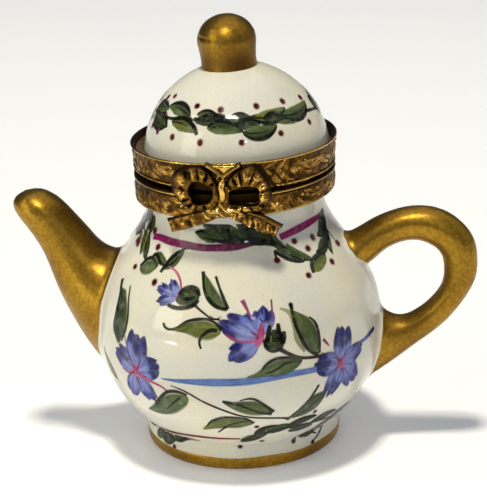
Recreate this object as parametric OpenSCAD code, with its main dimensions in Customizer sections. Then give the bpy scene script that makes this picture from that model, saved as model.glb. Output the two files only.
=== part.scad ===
// Miniature teapot-shaped porcelain box: a hollow pot and a domed lid, each set in a
// brass bezel, hinged at the back and held shut by a bow-shaped clasp at the front.
// Millimetres, +Z up. The origin is on the table, on the axis of the pot.
// The clasp faces -Y, the hinge is at +Y, the spout points to -X, the handle to +X.

/* [Pot] */
// Radius of the foot
foot_r = 14.3; // [14:0.1:14.8]
// Radius of the waist just above the foot
waist_r = 14.2; // [13.8:0.1:14.6]
// Height of the waist
waist_z = 4; // [3.4:0.1:4.6]
// Radius of the belly at its widest
belly_r = 20.75; // [20.4:0.05:21.1]
// Height of the widest part of the belly
belly_z = 17.3; // [16.8:0.1:17.8]
// Outer radius of the neck
neck_r = 12.8; // [12.7:0.05:12.9]
// Height where the shoulder has become the neck
neck_z = 36.8; // [36.2:0.1:37.4]
// Height of the pot's rim
rim_z = 40.8; // [40.7:0.1:40.9]
// Thickness of the porcelain
wall = 2; // [1.6:0.1:2.2]
// Height of the floor inside the pot
floor_z = 3.2; // [2.8:0.1:3.4]

/* [Lid] */
// Outer radius of the domed lid
dome_r = 13.3; // [13.2:0.05:13.35]
// How far the dome sits from its mount's axis towards the handle
dome_x = 0.45; // [0:0.05:0.45]
// Height of the dome's centre
dome_z = 43.4; // [43.3:0.1:43.6]
// Radius of the knob at its widest
knob_r = 4.15; // [3.8:0.05:4.4]
// Height of the knob's top
knob_top_z = 63.5; // [63:0.1:64]
// How far the knob sits from the pot's axis towards the spout
knob_x = 0.25; // [0:0.05:0.5]
// Lean of the knob towards the spout, in degrees
knob_lean = 4; // [0:0.5:6]

/* [Bezels] */
// Outer radius of the lower bezel
lower_band_r = 14.5; // [14.45:0.01:14.55]
// Height of the lower bezel's bottom edge
lower_band_z = 38.2; // [38:0.1:38.6]
// Gap between the two bezels when the lid is shut
bezel_gap = 0.4; // [0.3:0.05:0.45]
// Outer radius of the upper bezel at its top edge
upper_band_r = 14.8; // [14.78:0.01:14.85]
// Height of the upper bezel's top edge
upper_band_top_z = 46.1; // [45.9:0.1:46.3]
// Outer radius of the locating lip inside the lower bezel
lip_r = 12.1; // [12:0.02:12.14]

/* [Hinge] */
// Distance of the hinge axis behind the pot's axis
hinge_y = 15.8; // [15.75:0.01:15.85]
// Height of the hinge axis
hinge_z = 41.8; // [41.75:0.01:41.85]
// Radius of the hinge pin
pin_r = 0.45; // [0.4:0.01:0.5]
// Radial clearance of the running knuckles on the pin
pin_clearance = 0.05; // [0.02:0.01:0.08]
// Outer radius of a knuckle
knuckle_r = 0.95; // [0.9:0.01:0.98]
// Spacing of the knuckles along the pin
knuckle_pitch = 1.8; // [1.6:0.1:2]

/* [Bow clasp] */
// Radius of the back of the bow where it passes over the lower bezel
bow_back_r = 14.9; // [14.85:0.01:14.95]
// Thickness of the bow's loops
loop_t = 1; // [0.8:0.05:1.1]
// Thickness of the bow's tails
tail_t = 0.8; // [0.6:0.05:0.9]
// Radius of the front of the knot
knot_front_r = 16.5; // [16.3:0.05:16.7]
// Gap between the clasp's tongue and the catch it presses on
catch_gap = 0.1; // [0.08:0.01:0.12]

/* [Hidden] */

PORCELAIN = "ivory";
GILDING = "goldenrod";
BRASS = "darkgoldenrod";
CEMENT = "gainsboro";

$fn = 96;

// Exponents that shape the belly: how full it is low down, how late the shoulder turns in
belly_fullness = 2.3;
shoulder_delay = 1.4;
// Points along each half of the belly's outline
belly_steps = 14;

// Underside: height of the recess and inner radius of the ring that the pot stands on
recess_z = 1;
foot_inner_r = 11.5;

// Lower bezel
lower_band_top_z = rim_z + 0.8;
lower_band_t = 0.9;
lower_cement_z = lower_band_z + 0.6;
lip_t = 0.6;
lip_top_z = lower_band_top_z + 0.75;
setting_r = neck_r + 0.1;

// Upper bezel
upper_band_z = lower_band_top_z + bezel_gap;
upper_inner_r = 14;
upper_flange_r = lip_r + 0.3;
dome_rim_z = upper_band_z + 0.75;
upper_cement_z = dome_rim_z + 2;

// Hinge
knuckle_gap = 0.1;
leaf_half_w = 2.5 * knuckle_pitch;
lower_leaf_y = 15.1;
upper_leaf_y = 15.5;

// Clasp
tongue_r = lower_band_r + 0.45 + catch_gap;
tongue_t = 0.3;
tongue_half_w = 0.9;
bow_reach = 20;

// ---- Curves ----

// Eases from 0 to 1 with level ends
function ease(t) = t * t * (3 - 2 * t);

// A point at t between b and c on the smooth curve through a, b, c, d
function between(a, b, c, d, t) =
    0.5 * (2 * b + (c - a) * t + (2 * a - 5 * b + 4 * c - d) * t * t
           + (3 * b - a - 3 * c + d) * t * t * t);

// Smooth open curve through the given points, with steps points to each span
function open_curve(p, steps) =
    let (last = len(p) - 1)
    [for (i = [0 : last - 1], s = [0 : steps - 1])
         between(p[max(i - 1, 0)], p[i], p[i + 1], p[min(i + 2, last)], s / steps),
     p[last]];

// Smooth closed curve through the given points
function closed_curve(p, steps) =
    let (n = len(p))
    [for (i = [0 : n - 1], s = [0 : steps - 1])
         between(p[(i + n - 1) % n], p[i], p[(i + 1) % n], p[(i + 2) % n], s / steps)];

// The line moved to its left by d, without its two end points
function moved_left(line, d) =
    [for (i = [1 : len(line) - 2])
         let (run = line[i + 1] - line[i - 1])
         line[i] + d * [-run.y, run.x] / norm(run)];

function reversed(p) = [for (i = [len(p) - 1 : -1 : 0]) p[i]];

// ---- Outlines of the pot, as [radius, height] ----

function lower_belly(t) =
    [waist_r + (belly_r - waist_r) * (1 - pow(1 - t, belly_fullness)),
     waist_z + (belly_z - waist_z) * t];

function shoulder(t) =
    [belly_r - (belly_r - neck_r) * ease(pow(t, shoulder_delay)),
     belly_z + (neck_z - belly_z) * t];

foot_line = [[foot_r - 0.6, 0], [foot_r - 0.15, 0.4], [foot_r, 1.2], [foot_r, waist_z - 0.8]];
belly_line = concat(
    [for (i = [0 : belly_steps]) lower_belly(i / belly_steps)],
    [for (i = [1 : belly_steps]) shoulder(i / belly_steps)]);
pot_outline = concat(foot_line, belly_line, [[setting_r, lower_cement_z], [setting_r, rim_z]]);
pot_inside = concat([[0, floor_z], [waist_r - wall, floor_z]], moved_left(belly_line, wall),
                    [[setting_r - wall, rim_z]]);

// ---- Spout and handle ----

// Stations of the spout from inside the pot to the tip:
// [point on the upper edge, point on the lower edge, half breadth], edges as [x, z]
spout_stations = [
    [[-13.5, 27.6], [-16.5, 9.0], 7.6],
    [[-17.1, 28.2], [-20.5, 11.6], 7.0],
    [[-20.0, 29.4], [-24.0, 16.9], 5.4],
    [[-22.0, 31.9], [-26.7, 22.5], 4.1],
    [[-23.5, 33.7], [-28.3, 27.6], 3.6],
    [[-24.7, 35.1], [-30.0, 31.0], 3.4],
    [[-26.0, 36.4], [-32.1, 34.0], 3.3],
    [[-27.5, 37.4], [-32.8, 35.7], 2.6],
    [[-28.7, 37.8], [-32.3, 36.8], 1.7],
    [[-30.0, 37.8], [-31.3, 37.4], 0.6]];

// Stations of the handle from its upper root round to its lower root:
// [point on the outer edge, point on the inner edge, half breadth], edges as [x, z]
handle_stations = [
    [[12.5, 29.6], [15.4, 24.6], 3.2],
    [[17.0, 31.7], [19.4, 27.0], 2.9],
    [[20.6, 33.9], [21.8, 29.2], 2.6],
    [[25.6, 35.4], [25.2, 30.4], 2.4],
    [[30.4, 34.5], [27.9, 29.7], 2.4],
    [[34.0, 31.0], [29.5, 28.2], 2.4],
    [[34.7, 27.0], [29.9, 25.8], 2.4],
    [[34.2, 23.8], [29.5, 23.4], 2.4],
    [[31.9, 20.0], [28.0, 21.3], 2.3],
    [[29.3, 17.1], [26.2, 19.7], 2.3],
    [[26.0, 14.5], [23.8, 18.5], 2.4],
    [[22.4, 11.6], [21.4, 19.2], 2.8],
    [[17.0, 7.6], [18.0, 21.8], 3.6]];

// Sides of the cross-sections, and rings to each span between two stations
section_sides = 24;
spout_rings = 3;
handle_rings = 4;

// Oval section whose edge points lie on the upper and lower (or outer and inner) edges
function section(s) =
    let (mid = (s[0] + s[1]) / 2, half = (s[0] - s[1]) / 2)
    [for (i = [0 : section_sides - 1])
         let (a = 360 * i / section_sides)
         [mid.x + half.x * cos(a), s[2] * sin(a), mid.y + half.y * cos(a)]];

// Closed skin over a row of sections
module loft(stations, rings) {
    sections = [for (s = open_curve(stations, rings)) section(s)];
    n = section_sides;
    last = len(sections) - 1;
    skin = [for (j = [0 : last - 1], i = [0 : n - 1])
                let (k = (i + 1) % n, a = j * n, b = a + n)
                each [[a + i, a + k, b + k], [a + i, b + k, b + i]]];
    ends = [[for (i = [n - 1 : -1 : 0]) i], [for (i = [0 : n - 1]) last * n + i]];
    polyhedron([for (s = sections) each s], concat(skin, ends), convexity = 6);
}

// ---- Shapes that several pieces share ----

// Solid of revolution of an outline and the axis beside it
module filled(outline) {
    rotate_extrude()
        polygon(concat([[0, outline[0].y]], outline, [[0, outline[len(outline) - 1].y]]));
}

module ring(r_in, r_out, z_low, z_high) {
    rotate_extrude()
        translate([r_in, z_low])
            square([r_out - r_in, z_high - z_low]);
}

// Round top and short straight skirt of the dome, down to the height low_z
module dome_solid(r, low_z) {
    translate([dome_x, 0, 0]) {
        intersection() {
            translate([0, 0, dome_z]) sphere(r);
            translate([0, 0, dome_z]) cylinder(r = r, h = r);
        }
        translate([0, 0, low_z]) cylinder(r = r, h = dome_z - low_z);
    }
}

// Outer faces of the bezels, from the bottom edge to the top edge
lower_face = [[lower_band_r - 0.15, lower_band_z], [lower_band_r, lower_band_z + 0.4],
              [lower_band_r, lower_band_z + 2], [lower_band_r, lower_band_top_z]];
upper_face = [[upper_band_r - 0.3, upper_band_z], [upper_band_r - 0.25, upper_band_z + 1.4],
              [upper_band_r - 0.1, upper_band_z + 3.2], [upper_band_r, upper_band_top_z - 0.3],
              [upper_band_r - 0.1, upper_band_top_z]];

// A flat outline in X and Z, kept between two radii round the pot's axis
module wrapped(r_in, r_out) {
    intersection() {
        ring(r_in, r_out, lower_band_z - 5, upper_band_top_z);
        rotate([90, 0, 0]) linear_extrude(bow_reach) children();
    }
}

// ---- Pot body ----

module porcelain_body() {
    color(PORCELAIN)
        rotate_extrude()
            polygon(concat([[0, recess_z], [foot_inner_r - 0.4, recess_z], [foot_inner_r, 0]],
                           pot_outline, reversed(pot_inside)));
}

module spout() {
    color(GILDING)
        difference() {
            loft(spout_stations, spout_rings);
            filled(pot_outline);
        }
}

module handle() {
    color(GILDING)
        difference() {
            loft(handle_stations, handle_rings);
            filled(pot_outline);
        }
}

module lower_setting_ring() {
    color(CEMENT) ring(setting_r, lower_band_r - lower_band_t, lower_cement_z, rim_z);
}

module lower_bezel() {
    inner_r = lower_band_r - lower_band_t;
    curl_r = setting_r + 0.1;
    color(BRASS)
        rotate_extrude()
            polygon(concat(lower_face,
                [[lip_r, lower_band_top_z], [lip_r, lip_top_z - 0.1], [lip_r - 0.1, lip_top_z],
                 [lip_r - lip_t, lip_top_z], [lip_r - lip_t, rim_z], [inner_r, rim_z],
                 [inner_r, lower_cement_z], [curl_r, lower_cement_z], [curl_r, lower_band_z]]));
}

module clasp_catch() {
    catch_size = [1.4, 0.8];
    color(BRASS)
        difference() {
            wrapped(lower_band_r - 0.5, tongue_r - catch_gap)
                translate([-catch_size.x / 2, rim_z - 1.1]) square(catch_size);
            filled(lower_face);
        }
}

// ---- Hinge ----

// Plate with a flat outside, soldered to the back of a bezel
module leaf(outside_y, z_low, z_high, face) {
    difference() {
        translate([-leaf_half_w, belly_r / 2, z_low])
            cube([2 * leaf_half_w, outside_y - belly_r / 2, z_high - z_low]);
        filled(face);
    }
}

// Knuckle number i from the middle, with a web from web_low up to web_high on its leaf
module knuckle(i, bore_r, web_y, web_low, web_high) {
    width = knuckle_pitch - knuckle_gap;
    web_t = 0.6;
    translate([i * knuckle_pitch - width / 2, 0, 0])
        difference() {
            union() {
                translate([0, hinge_y, hinge_z]) rotate([0, 90, 0]) cylinder(r = knuckle_r, h = width);
                translate([0, web_y, web_low]) cube([width, web_t, web_high - web_low]);
            }
            translate([-1, hinge_y, hinge_z]) rotate([0, 90, 0]) cylinder(r = bore_r, h = width + 2);
        }
}

module lower_knuckle(i, bore_r) {
    color(BRASS) knuckle(i, bore_r, lower_leaf_y, hinge_z - 2.2, hinge_z - 0.5);
}

module upper_knuckle(i) {
    color(BRASS) knuckle(i, pin_r + pin_clearance, upper_leaf_y, hinge_z + 0.5, hinge_z + 2.6);
}

module hinge_leaf_lower() {
    color(BRASS) leaf(lower_leaf_y, lower_cement_z, hinge_z - 1.05, lower_face);
}

module hinge_leaf_upper() {
    color(BRASS) leaf(upper_leaf_y, hinge_z + 1.15, hinge_z + 3, upper_face);
}

module hinge_knuckle_lower_left() { lower_knuckle(-2, pin_r); }
module hinge_knuckle_lower_centre() { lower_knuckle(0, pin_r + pin_clearance); }
module hinge_knuckle_lower_right() { lower_knuckle(2, pin_r); }
module hinge_knuckle_upper_left() { upper_knuckle(-1); }
module hinge_knuckle_upper_right() { upper_knuckle(1); }

module hinge_pin() {
    pin_l = 5 * knuckle_pitch + 0.3;
    color(BRASS)
        translate([-pin_l / 2, hinge_y, hinge_z])
            rotate([0, 90, 0])
                cylinder(r = pin_r, h = pin_l);
}

// ---- Lid ----

module lid_dome() {
    color(PORCELAIN)
        difference() {
            dome_solid(dome_r, dome_rim_z);
            dome_solid(dome_r - wall, dome_rim_z - 1);
        }
}

// Thimble-shaped knob, a little narrower where it is cut to sit on the dome
module knob() {
    knob_h = knob_top_z - dome_z - dome_r;
    line = open_curve([[0.97 * knob_r, -0.16 * knob_h], [0.94 * knob_r, 0.06 * knob_h],
                       [0.985 * knob_r, 0.36 * knob_h], [knob_r, 0.5 * knob_h],
                       [0.93 * knob_r, 0.66 * knob_h], [0.74 * knob_r, 0.83 * knob_h],
                       [0.43 * knob_r, 0.95 * knob_h], [0.12 * knob_r, knob_h]], 4);
    color(GILDING)
        difference() {
            translate([-knob_x, 0, dome_z + dome_r]) rotate([0, -knob_lean, 0]) filled(line);
            dome_solid(dome_r, dome_rim_z);
        }
}

module upper_setting_ring() {
    color(CEMENT)
        difference() {
            ring(dome_r - wall / 2, upper_inner_r, dome_rim_z, upper_cement_z);
            dome_solid(dome_r, dome_rim_z - 1);
        }
}

module upper_bezel() {
    color(BRASS)
        rotate_extrude()
            polygon(concat(upper_face,
                [[upper_band_r - 0.55, upper_band_top_z], [upper_inner_r, upper_cement_z],
                 [upper_inner_r, dome_rim_z], [upper_flange_r, dome_rim_z],
                 [upper_flange_r, upper_band_z]]));
}

// ---- Bow clasp ----

module tongue_outline(low_z, high_z) {
    translate([-tongue_half_w, low_z]) square([2 * tongue_half_w, high_z - low_z]);
}

// Spring strip behind the knot: fixed to the upper bezel, it presses on the catch
module tongue_solid() {
    difference() {
        union() {
            wrapped(tongue_r, tongue_r + tongue_t) tongue_outline(rim_z - 1.3, upper_band_z + 1);
            wrapped(lower_band_r, tongue_r + tongue_t)
                tongue_outline(upper_band_z + 0.1, upper_band_z + 1);
        }
        filled(upper_face);
    }
}

module clasp_tongue() {
    color(BRASS) tongue_solid();
}

// Front outlines of the bow, as [x, z]; the eyes are the openings in the loops
left_loop = [[-0.3, 42.2], [-0.9, 44.3], [-2.7, 45.5], [-4.6, 45.4], [-6.3, 44.5],
             [-7.4, 42.8], [-7.0, 41.0], [-5.6, 39.8], [-3.6, 39.5], [-1.2, 40.8]];
left_eye = [[-1.5, 42.6], [-3.2, 43.3], [-4.4, 42.8], [-4.3, 41.2], [-3.6, 40.6], [-1.9, 41.5]];
right_loop = [[0.4, 42.2], [1.0, 44.4], [2.8, 45.3], [4.5, 45.5], [5.5, 44.4],
              [6.5, 42.2], [6.0, 40.6], [4.9, 39.7], [2.8, 39.6], [1.1, 40.8]];
right_eye = [[1.3, 42.3], [4.4, 42.4], [4.7, 40.5], [1.4, 40.6]];
left_tail = [[-0.2, 41.2], [-1.2, 38.2], [-3.5, 37], [-6.7, 36], [-8.2, 37.4], [-6.1, 38.8], [-3, 40]];
right_tail = [[0.4, 41.2], [3.2, 40], [5.6, 38.6], [8.1, 36.9], [6.6, 35.5], [3.6, 37.2], [1, 38.4]];
ribbon_fold = [[-2.3, 45.5], [-2.2, 46.2], [0.4, 44.6], [2.7, 46.1], [2.9, 45.4], [0.4, 43.4]];
knot = [[-1, 41.8], [-0.7, 43.2], [0.4, 43.7], [1.3, 43.1], [1.5, 41.8], [1.1, 40.6], [0.2, 40.1],
        [-0.8, 40.6]];

module clasp_bow() {
    loop_front_r = bow_back_r + loop_t;
    curve_steps = 3;
    catch_room = [2.2, 1.6];
    color(BRASS)
        difference() {
            union() {
                wrapped(lower_band_r, loop_front_r) {
                    difference() {
                        polygon(closed_curve(left_loop, curve_steps));
                        polygon(closed_curve(left_eye, curve_steps));
                    }
                    difference() {
                        polygon(closed_curve(right_loop, curve_steps));
                        polygon(right_eye);
                    }
                    polygon(ribbon_fold);
                }
                wrapped(lower_band_r, bow_back_r + tail_t) {
                    polygon(left_tail);
                    polygon(right_tail);
                }
                wrapped(lower_band_r, knot_front_r) polygon(closed_curve(knot, curve_steps));
            }
            filled(upper_face);
            ring(lower_band_r - 1, bow_back_r, lower_band_z - 6, upper_band_z + 0.1);
            tongue_solid();
            wrapped(lower_band_r - 1, tongue_r + tongue_t / 2)
                translate([-catch_room.x / 2, rim_z - 1.4]) square(catch_room);
        }
}

porcelain_body();
spout();
handle();
lower_setting_ring();
lower_bezel();
clasp_catch();
hinge_leaf_lower();
hinge_knuckle_lower_left();
hinge_knuckle_lower_centre();
hinge_knuckle_lower_right();
hinge_pin();
lid_dome();
knob();
upper_setting_ring();
upper_bezel();
hinge_leaf_upper();
hinge_knuckle_upper_left();
hinge_knuckle_upper_right();
clasp_tongue();
clasp_bow();
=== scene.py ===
import math
import random

import bmesh
import bpy
import numpy as np
from mathutils import Matrix, Vector


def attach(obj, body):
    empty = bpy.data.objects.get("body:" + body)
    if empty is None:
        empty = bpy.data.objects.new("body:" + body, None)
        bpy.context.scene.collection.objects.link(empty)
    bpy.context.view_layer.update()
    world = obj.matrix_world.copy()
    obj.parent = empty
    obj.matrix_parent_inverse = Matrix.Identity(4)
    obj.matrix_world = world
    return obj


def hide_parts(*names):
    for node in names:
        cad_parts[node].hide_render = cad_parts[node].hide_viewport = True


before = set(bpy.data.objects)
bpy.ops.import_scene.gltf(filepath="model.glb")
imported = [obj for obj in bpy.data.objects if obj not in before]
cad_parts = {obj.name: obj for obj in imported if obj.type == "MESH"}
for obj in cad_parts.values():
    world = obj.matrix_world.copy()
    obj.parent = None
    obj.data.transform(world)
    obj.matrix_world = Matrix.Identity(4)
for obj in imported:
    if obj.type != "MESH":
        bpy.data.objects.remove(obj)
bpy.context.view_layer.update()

# Sizes below are in millimetres in the shared frame; pieces are scaled to metres when they are made.
MM = 0.001

# ---- Sizes that the CAD source also has ----
FOOT_R, WAIST_R, WAIST_Z = 14.3, 14.2, 4.0
BELLY_R, BELLY_Z = 20.71, 17.3
NECK_R, NECK_Z, RIM_Z = 12.8, 36.8, 40.8
SETTING_R, CEMENT_Z = 12.9, 38.8
WALL, FLOOR_Z, RECESS_Z, FOOT_INNER_R = 2.0, 3.2, 1.0, 11.5
BELLY_FULLNESS, SHOULDER_DELAY = 2.3, 1.4
DOME_R, DOME_X, DOME_Z, DOME_RIM_Z = 13.3, 0.45, 43.4, 42.75
KNOB_R, KNOB_TOP_Z, KNOB_X, KNOB_LEAN = 4.15, 63.5, 0.25, 4.0
LOWER_BAND_Z, LOWER_BAND_TOP_Z = 38.2, 41.6
UPPER_BAND_Z, UPPER_BAND_TOP_Z = 42.0, 46.1
BOW_BACK_R = 14.9

SPOUT_STATIONS = [
    [-13.5, 27.6, -16.5, 9.0, 7.6], [-17.1, 28.2, -20.5, 11.6, 7.0],
    [-20.0, 29.4, -24.0, 16.9, 5.4], [-22.0, 31.9, -26.7, 22.5, 4.1],
    [-23.5, 33.7, -28.3, 27.6, 3.6], [-24.7, 35.1, -30.0, 31.0, 3.4],
    [-26.0, 36.4, -32.1, 34.0, 3.3], [-27.5, 37.4, -32.8, 35.7, 2.6],
    [-28.7, 37.8, -32.3, 36.8, 1.7], [-30.0, 37.8, -31.3, 37.4, 0.6]]
HANDLE_STATIONS = [
    [12.5, 29.6, 15.4, 24.6, 3.2], [17.0, 31.7, 19.4, 27.0, 2.9],
    [20.6, 33.9, 21.8, 29.2, 2.6], [25.6, 35.4, 25.2, 30.4, 2.4],
    [30.4, 34.5, 27.9, 29.7, 2.4], [34.0, 31.0, 29.5, 28.2, 2.4],
    [34.7, 27.0, 29.9, 25.8, 2.4], [34.2, 23.8, 29.5, 23.4, 2.4],
    [31.9, 20.0, 28.0, 21.3, 2.3], [29.3, 17.1, 26.2, 19.7, 2.3],
    [26.0, 14.5, 23.8, 18.5, 2.4], [22.4, 11.6, 21.4, 19.2, 2.8],
    [17.0, 7.6, 18.0, 21.8, 3.6]]


# ---- Curves and noise ----

def ease(t):
    t = np.clip(t, 0, 1)
    return t * t * (3 - 2 * t)


def spline(points, steps, closed=False):
    """Smooth curve through the points, with steps points to each span."""
    p = np.array(points, float)
    n = len(p)
    t = np.arange(steps)[:, None] / steps
    spans = []
    for i in range(n if closed else n - 1):
        near = [(i + k) % n if closed else min(max(i + k, 0), n - 1) for k in (-1, 0, 1, 2)]
        a, b, c, d = p[near]
        spans.append(0.5 * (2 * b + (c - a) * t + (2 * a - 5 * b + 4 * c - d) * t ** 2
                            + (3 * b - a - 3 * c + d) * t ** 3))
    if not closed:
        spans.append(p[-1:])
    return np.concatenate(spans)


def softened(line, passes, closed=False):
    """The line with its small kinks averaged away; an open line keeps its ends."""
    for _ in range(passes):
        soft = (np.roll(line, 1, 0) + 2 * line + np.roll(line, -1, 0)) / 4
        if not closed:
            soft[[0, -1]] = line[[0, -1]]
        line = soft
    return line


def evenly(line, step):
    """The line resampled at about equal steps."""
    d = np.diff(line, axis=0)
    run = np.concatenate([[0], np.cumsum(np.hypot(d[:, 0], d[:, 1]))])
    n = max(4, int(math.ceil(run[-1] / step)) + 1)
    at = np.linspace(0, run[-1], n)
    return np.stack([np.interp(at, run, line[:, k]) for k in range(line.shape[1])], -1)


def lattice_noise(u, v, cell, seed, period=97.0):
    """Smooth random field over two arrays, about -1 to 1, repeating in u after period."""
    cols, rows = max(2, int(round(period / cell))), 64
    grid = np.random.default_rng(seed).uniform(-1, 1, (cols, rows))
    x, y = u / period * cols, v / cell
    i, j = np.floor(x).astype(int), np.floor(y).astype(int)
    fx, fy = ease(x - i), ease(y - j)
    i0, i1, j0, j1 = i % cols, (i + 1) % cols, j % rows, (j + 1) % rows
    low = grid[i0, j0] * (1 - fx) + grid[i1, j0] * fx
    high = grid[i0, j1] * (1 - fx) + grid[i1, j1] * fx
    return low * (1 - fy) + high * fy


def circle(count):
    """This many even steps round a full turn, in radians."""
    return np.arange(count) * 2 * math.pi / count


def around(r, turn, z, axis_x=0.0):
    """Points at this radius and height, turned from the front towards the right."""
    return np.stack(np.broadcast_arrays(axis_x + r * np.sin(turn), -r * np.cos(turn), z), -1)


def brushed_edge(turn, wobble, seed):
    """How far the edge of a brushed band strays at each turn round it."""
    rounds = 5
    return wobble * lattice_noise(turn * rounds, turn * 0, 1.7, seed, rounds * 2 * math.pi)


# ---- Meshes ----

def grid_faces(rows, cols, wrap_cols=False, wrap_rows=False, start=0):
    """Quads of a grid of points stored row by row."""
    i = np.arange(rows if wrap_rows else rows - 1)[:, None]
    j = np.arange(cols if wrap_cols else cols - 1)[None, :]
    i2, j2 = (i + 1) % rows, (j + 1) % cols
    quads = np.stack(np.broadcast_arrays(i * cols + j, i * cols + j2, i2 * cols + j2,
                                         i2 * cols + j), -1)
    return (quads.reshape(-1, 4) + start).tolist()


def piece(name, points, faces, body, materials, attributes=None, face_slots=None,
          outward=True, replaces=()):
    """Makes one shown mesh from points in millimetres and puts it on its CAD body."""
    mesh = bpy.data.meshes.new(name)
    mesh.from_pydata((np.asarray(points) * MM).tolist(), [], faces)
    for key, values in (attributes or {}).items():
        values = np.asarray(values, np.float32)
        kind = {1: "FLOAT", 3: "FLOAT_VECTOR", 4: "FLOAT_COLOR"}[
            1 if values.ndim == 1 else values.shape[1]]
        field = {"FLOAT": "value", "FLOAT_VECTOR": "vector", "FLOAT_COLOR": "color"}[kind]
        mesh.attributes.new(key, kind, "POINT").data.foreach_set(field, values.ravel())
    for material in materials:
        mesh.materials.append(material)
    if face_slots is not None:
        mesh.polygons.foreach_set("material_index", np.asarray(face_slots, np.int32))
    if outward:
        bm = bmesh.new()
        bm.from_mesh(mesh)
        bmesh.ops.recalc_face_normals(bm, faces=bm.faces)
        bm.to_mesh(mesh)
        bm.free()
    mesh.polygons.foreach_set("use_smooth", np.ones(len(mesh.polygons), bool))
    mesh.update()
    obj = bpy.data.objects.new(name, mesh)
    bpy.context.scene.collection.objects.link(obj)
    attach(obj, body)
    if replaces:
        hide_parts(*replaces)
    return obj


def brass_piece(name, points, faces, relief, body, node, crisp):
    """Makes a piece of chased brass whose edges steeper than crisp degrees stay crisp."""
    obj = piece(name, points, faces, body, [CHASED], {"relief": relief},
                replaces=[node])
    obj.data.set_sharp_from_angle(angle=math.radians(crisp))


def revolved(outline, segments, axis_x=0.0):
    """Points and faces of an outline of (radius, height) turned round the pot's axis."""
    outline = np.array(outline, float)
    turn = circle(segments)
    points, faces, rings = [], [], []
    for r, z in outline:
        first = len(points)
        if r < 1e-6:
            points.append([axis_x, 0, z])
            rings.append([first])
        else:
            points += around(r, turn, z, axis_x).tolist()
            rings.append(list(range(first, first + segments)))
    for a, b in zip(rings, rings[1:]):
        for j in range(segments):
            k = (j + 1) % segments
            if len(a) == 1:
                faces.append([a[0], b[k], b[j]])
            elif len(b) == 1:
                faces.append([a[j], a[k], b[0]])
            else:
                faces.append([a[j], a[k], b[k], b[j]])
    return np.array(points), faces


# ---- Materials ----

def srgb(r, g, b):
    """Linear colour of an 8-bit display colour."""
    return tuple(((c / 255 + 0.055) / 1.055) ** 2.4 if c > 10 else c / 3294.6 for c in (r, g, b))


def add_node(tree, kind, **settings):
    made = tree.nodes.new(kind)
    for key, value in settings.items():
        setattr(made, key, value)
    return made


class Look:
    """A material on a Principled shader, with helpers that add its pattern nodes."""

    def __init__(self, name, **plain):
        self.material = bpy.data.materials.new(name)
        self.material.use_nodes = True
        self.tree = self.material.node_tree
        self.shader = self.tree.nodes["Principled BSDF"]
        for socket, value in plain.items():
            self.set(socket.replace("_", " "), value)
        here = self.node("ShaderNodeTexCoord").outputs["Object"]
        self.here = self.scaled(here, (1 / MM,) * 3)

    def node(self, kind, **settings):
        return add_node(self.tree, kind, **settings)

    def put(self, socket, value):
        if isinstance(value, bpy.types.NodeSocket):
            self.tree.links.new(value, socket)
        elif isinstance(value, tuple) and len(value) == 3 and socket.type == "RGBA":
            socket.default_value = (*value, 1)
        else:
            socket.default_value = value

    def set(self, name, value):
        self.put(self.shader.inputs[name], value)

    def scaled(self, vector, by):
        made = self.node("ShaderNodeVectorMath", operation="MULTIPLY")
        self.put(made.inputs[0], vector)
        made.inputs[1].default_value = by
        return made.outputs[0]

    def noise(self, per_mm, vector=None, stretch=(1, 1, 1), detail=3.0):
        """Noise with per_mm features to the millimetre, as a value round 0.5."""
        made = self.node("ShaderNodeTexNoise")
        vector = self.here if vector is None else vector
        self.put(made.inputs["Vector"], self.scaled(vector, stretch))
        made.inputs["Scale"].default_value = per_mm
        made.inputs["Detail"].default_value = detail
        return made.outputs[0]

    def attribute(self, name, output="Fac"):
        return self.node("ShaderNodeAttribute", attribute_name=name).outputs[output]

    def math(self, operation, a, b):
        made = self.node("ShaderNodeMath", operation=operation)
        self.put(made.inputs[0], a)
        self.put(made.inputs[1], b)
        return made.outputs[0]

    def span(self, value, low, high, to_low=0.0, to_high=1.0):
        """value from low..high eased to to_low..to_high."""
        made = self.node("ShaderNodeMapRange", interpolation_type="SMOOTHSTEP")
        for key, number in zip(("Value", "From Min", "From Max", "To Min", "To Max"),
                               (value, low, high, to_low, to_high)):
            self.put(made.inputs[key], number)
        return made.outputs[0]

    def mix(self, a, b, share, blend="MIX"):
        made = self.node("ShaderNodeMix", data_type="RGBA", blend_type=blend)
        self.put(made.inputs["Factor"], share)
        self.put(made.inputs[6], a)
        self.put(made.inputs[7], b)
        return made.outputs[2]

    def ramp(self, value, stops):
        made = self.node("ShaderNodeValToRGB")
        self.put(made.inputs[0], value)
        marks = made.color_ramp.elements
        while len(marks) < len(stops):
            marks.new(0.5)
        for mark, (at, colour) in zip(marks, stops):
            mark.position = at
            mark.color = (*colour, 1)
        return made.outputs[0]

    def bump(self, *layers):
        """Adds bumps, each a (height, depth in mm), one over the other."""
        normal = None
        for height, depth in layers:
            made = self.node("ShaderNodeBump")
            made.inputs["Distance"].default_value = depth * MM
            self.put(made.inputs["Height"], height)
            if normal is not None:
                self.put(made.inputs["Normal"], normal)
            normal = made.outputs[0]
        self.set("Normal", normal)


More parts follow.
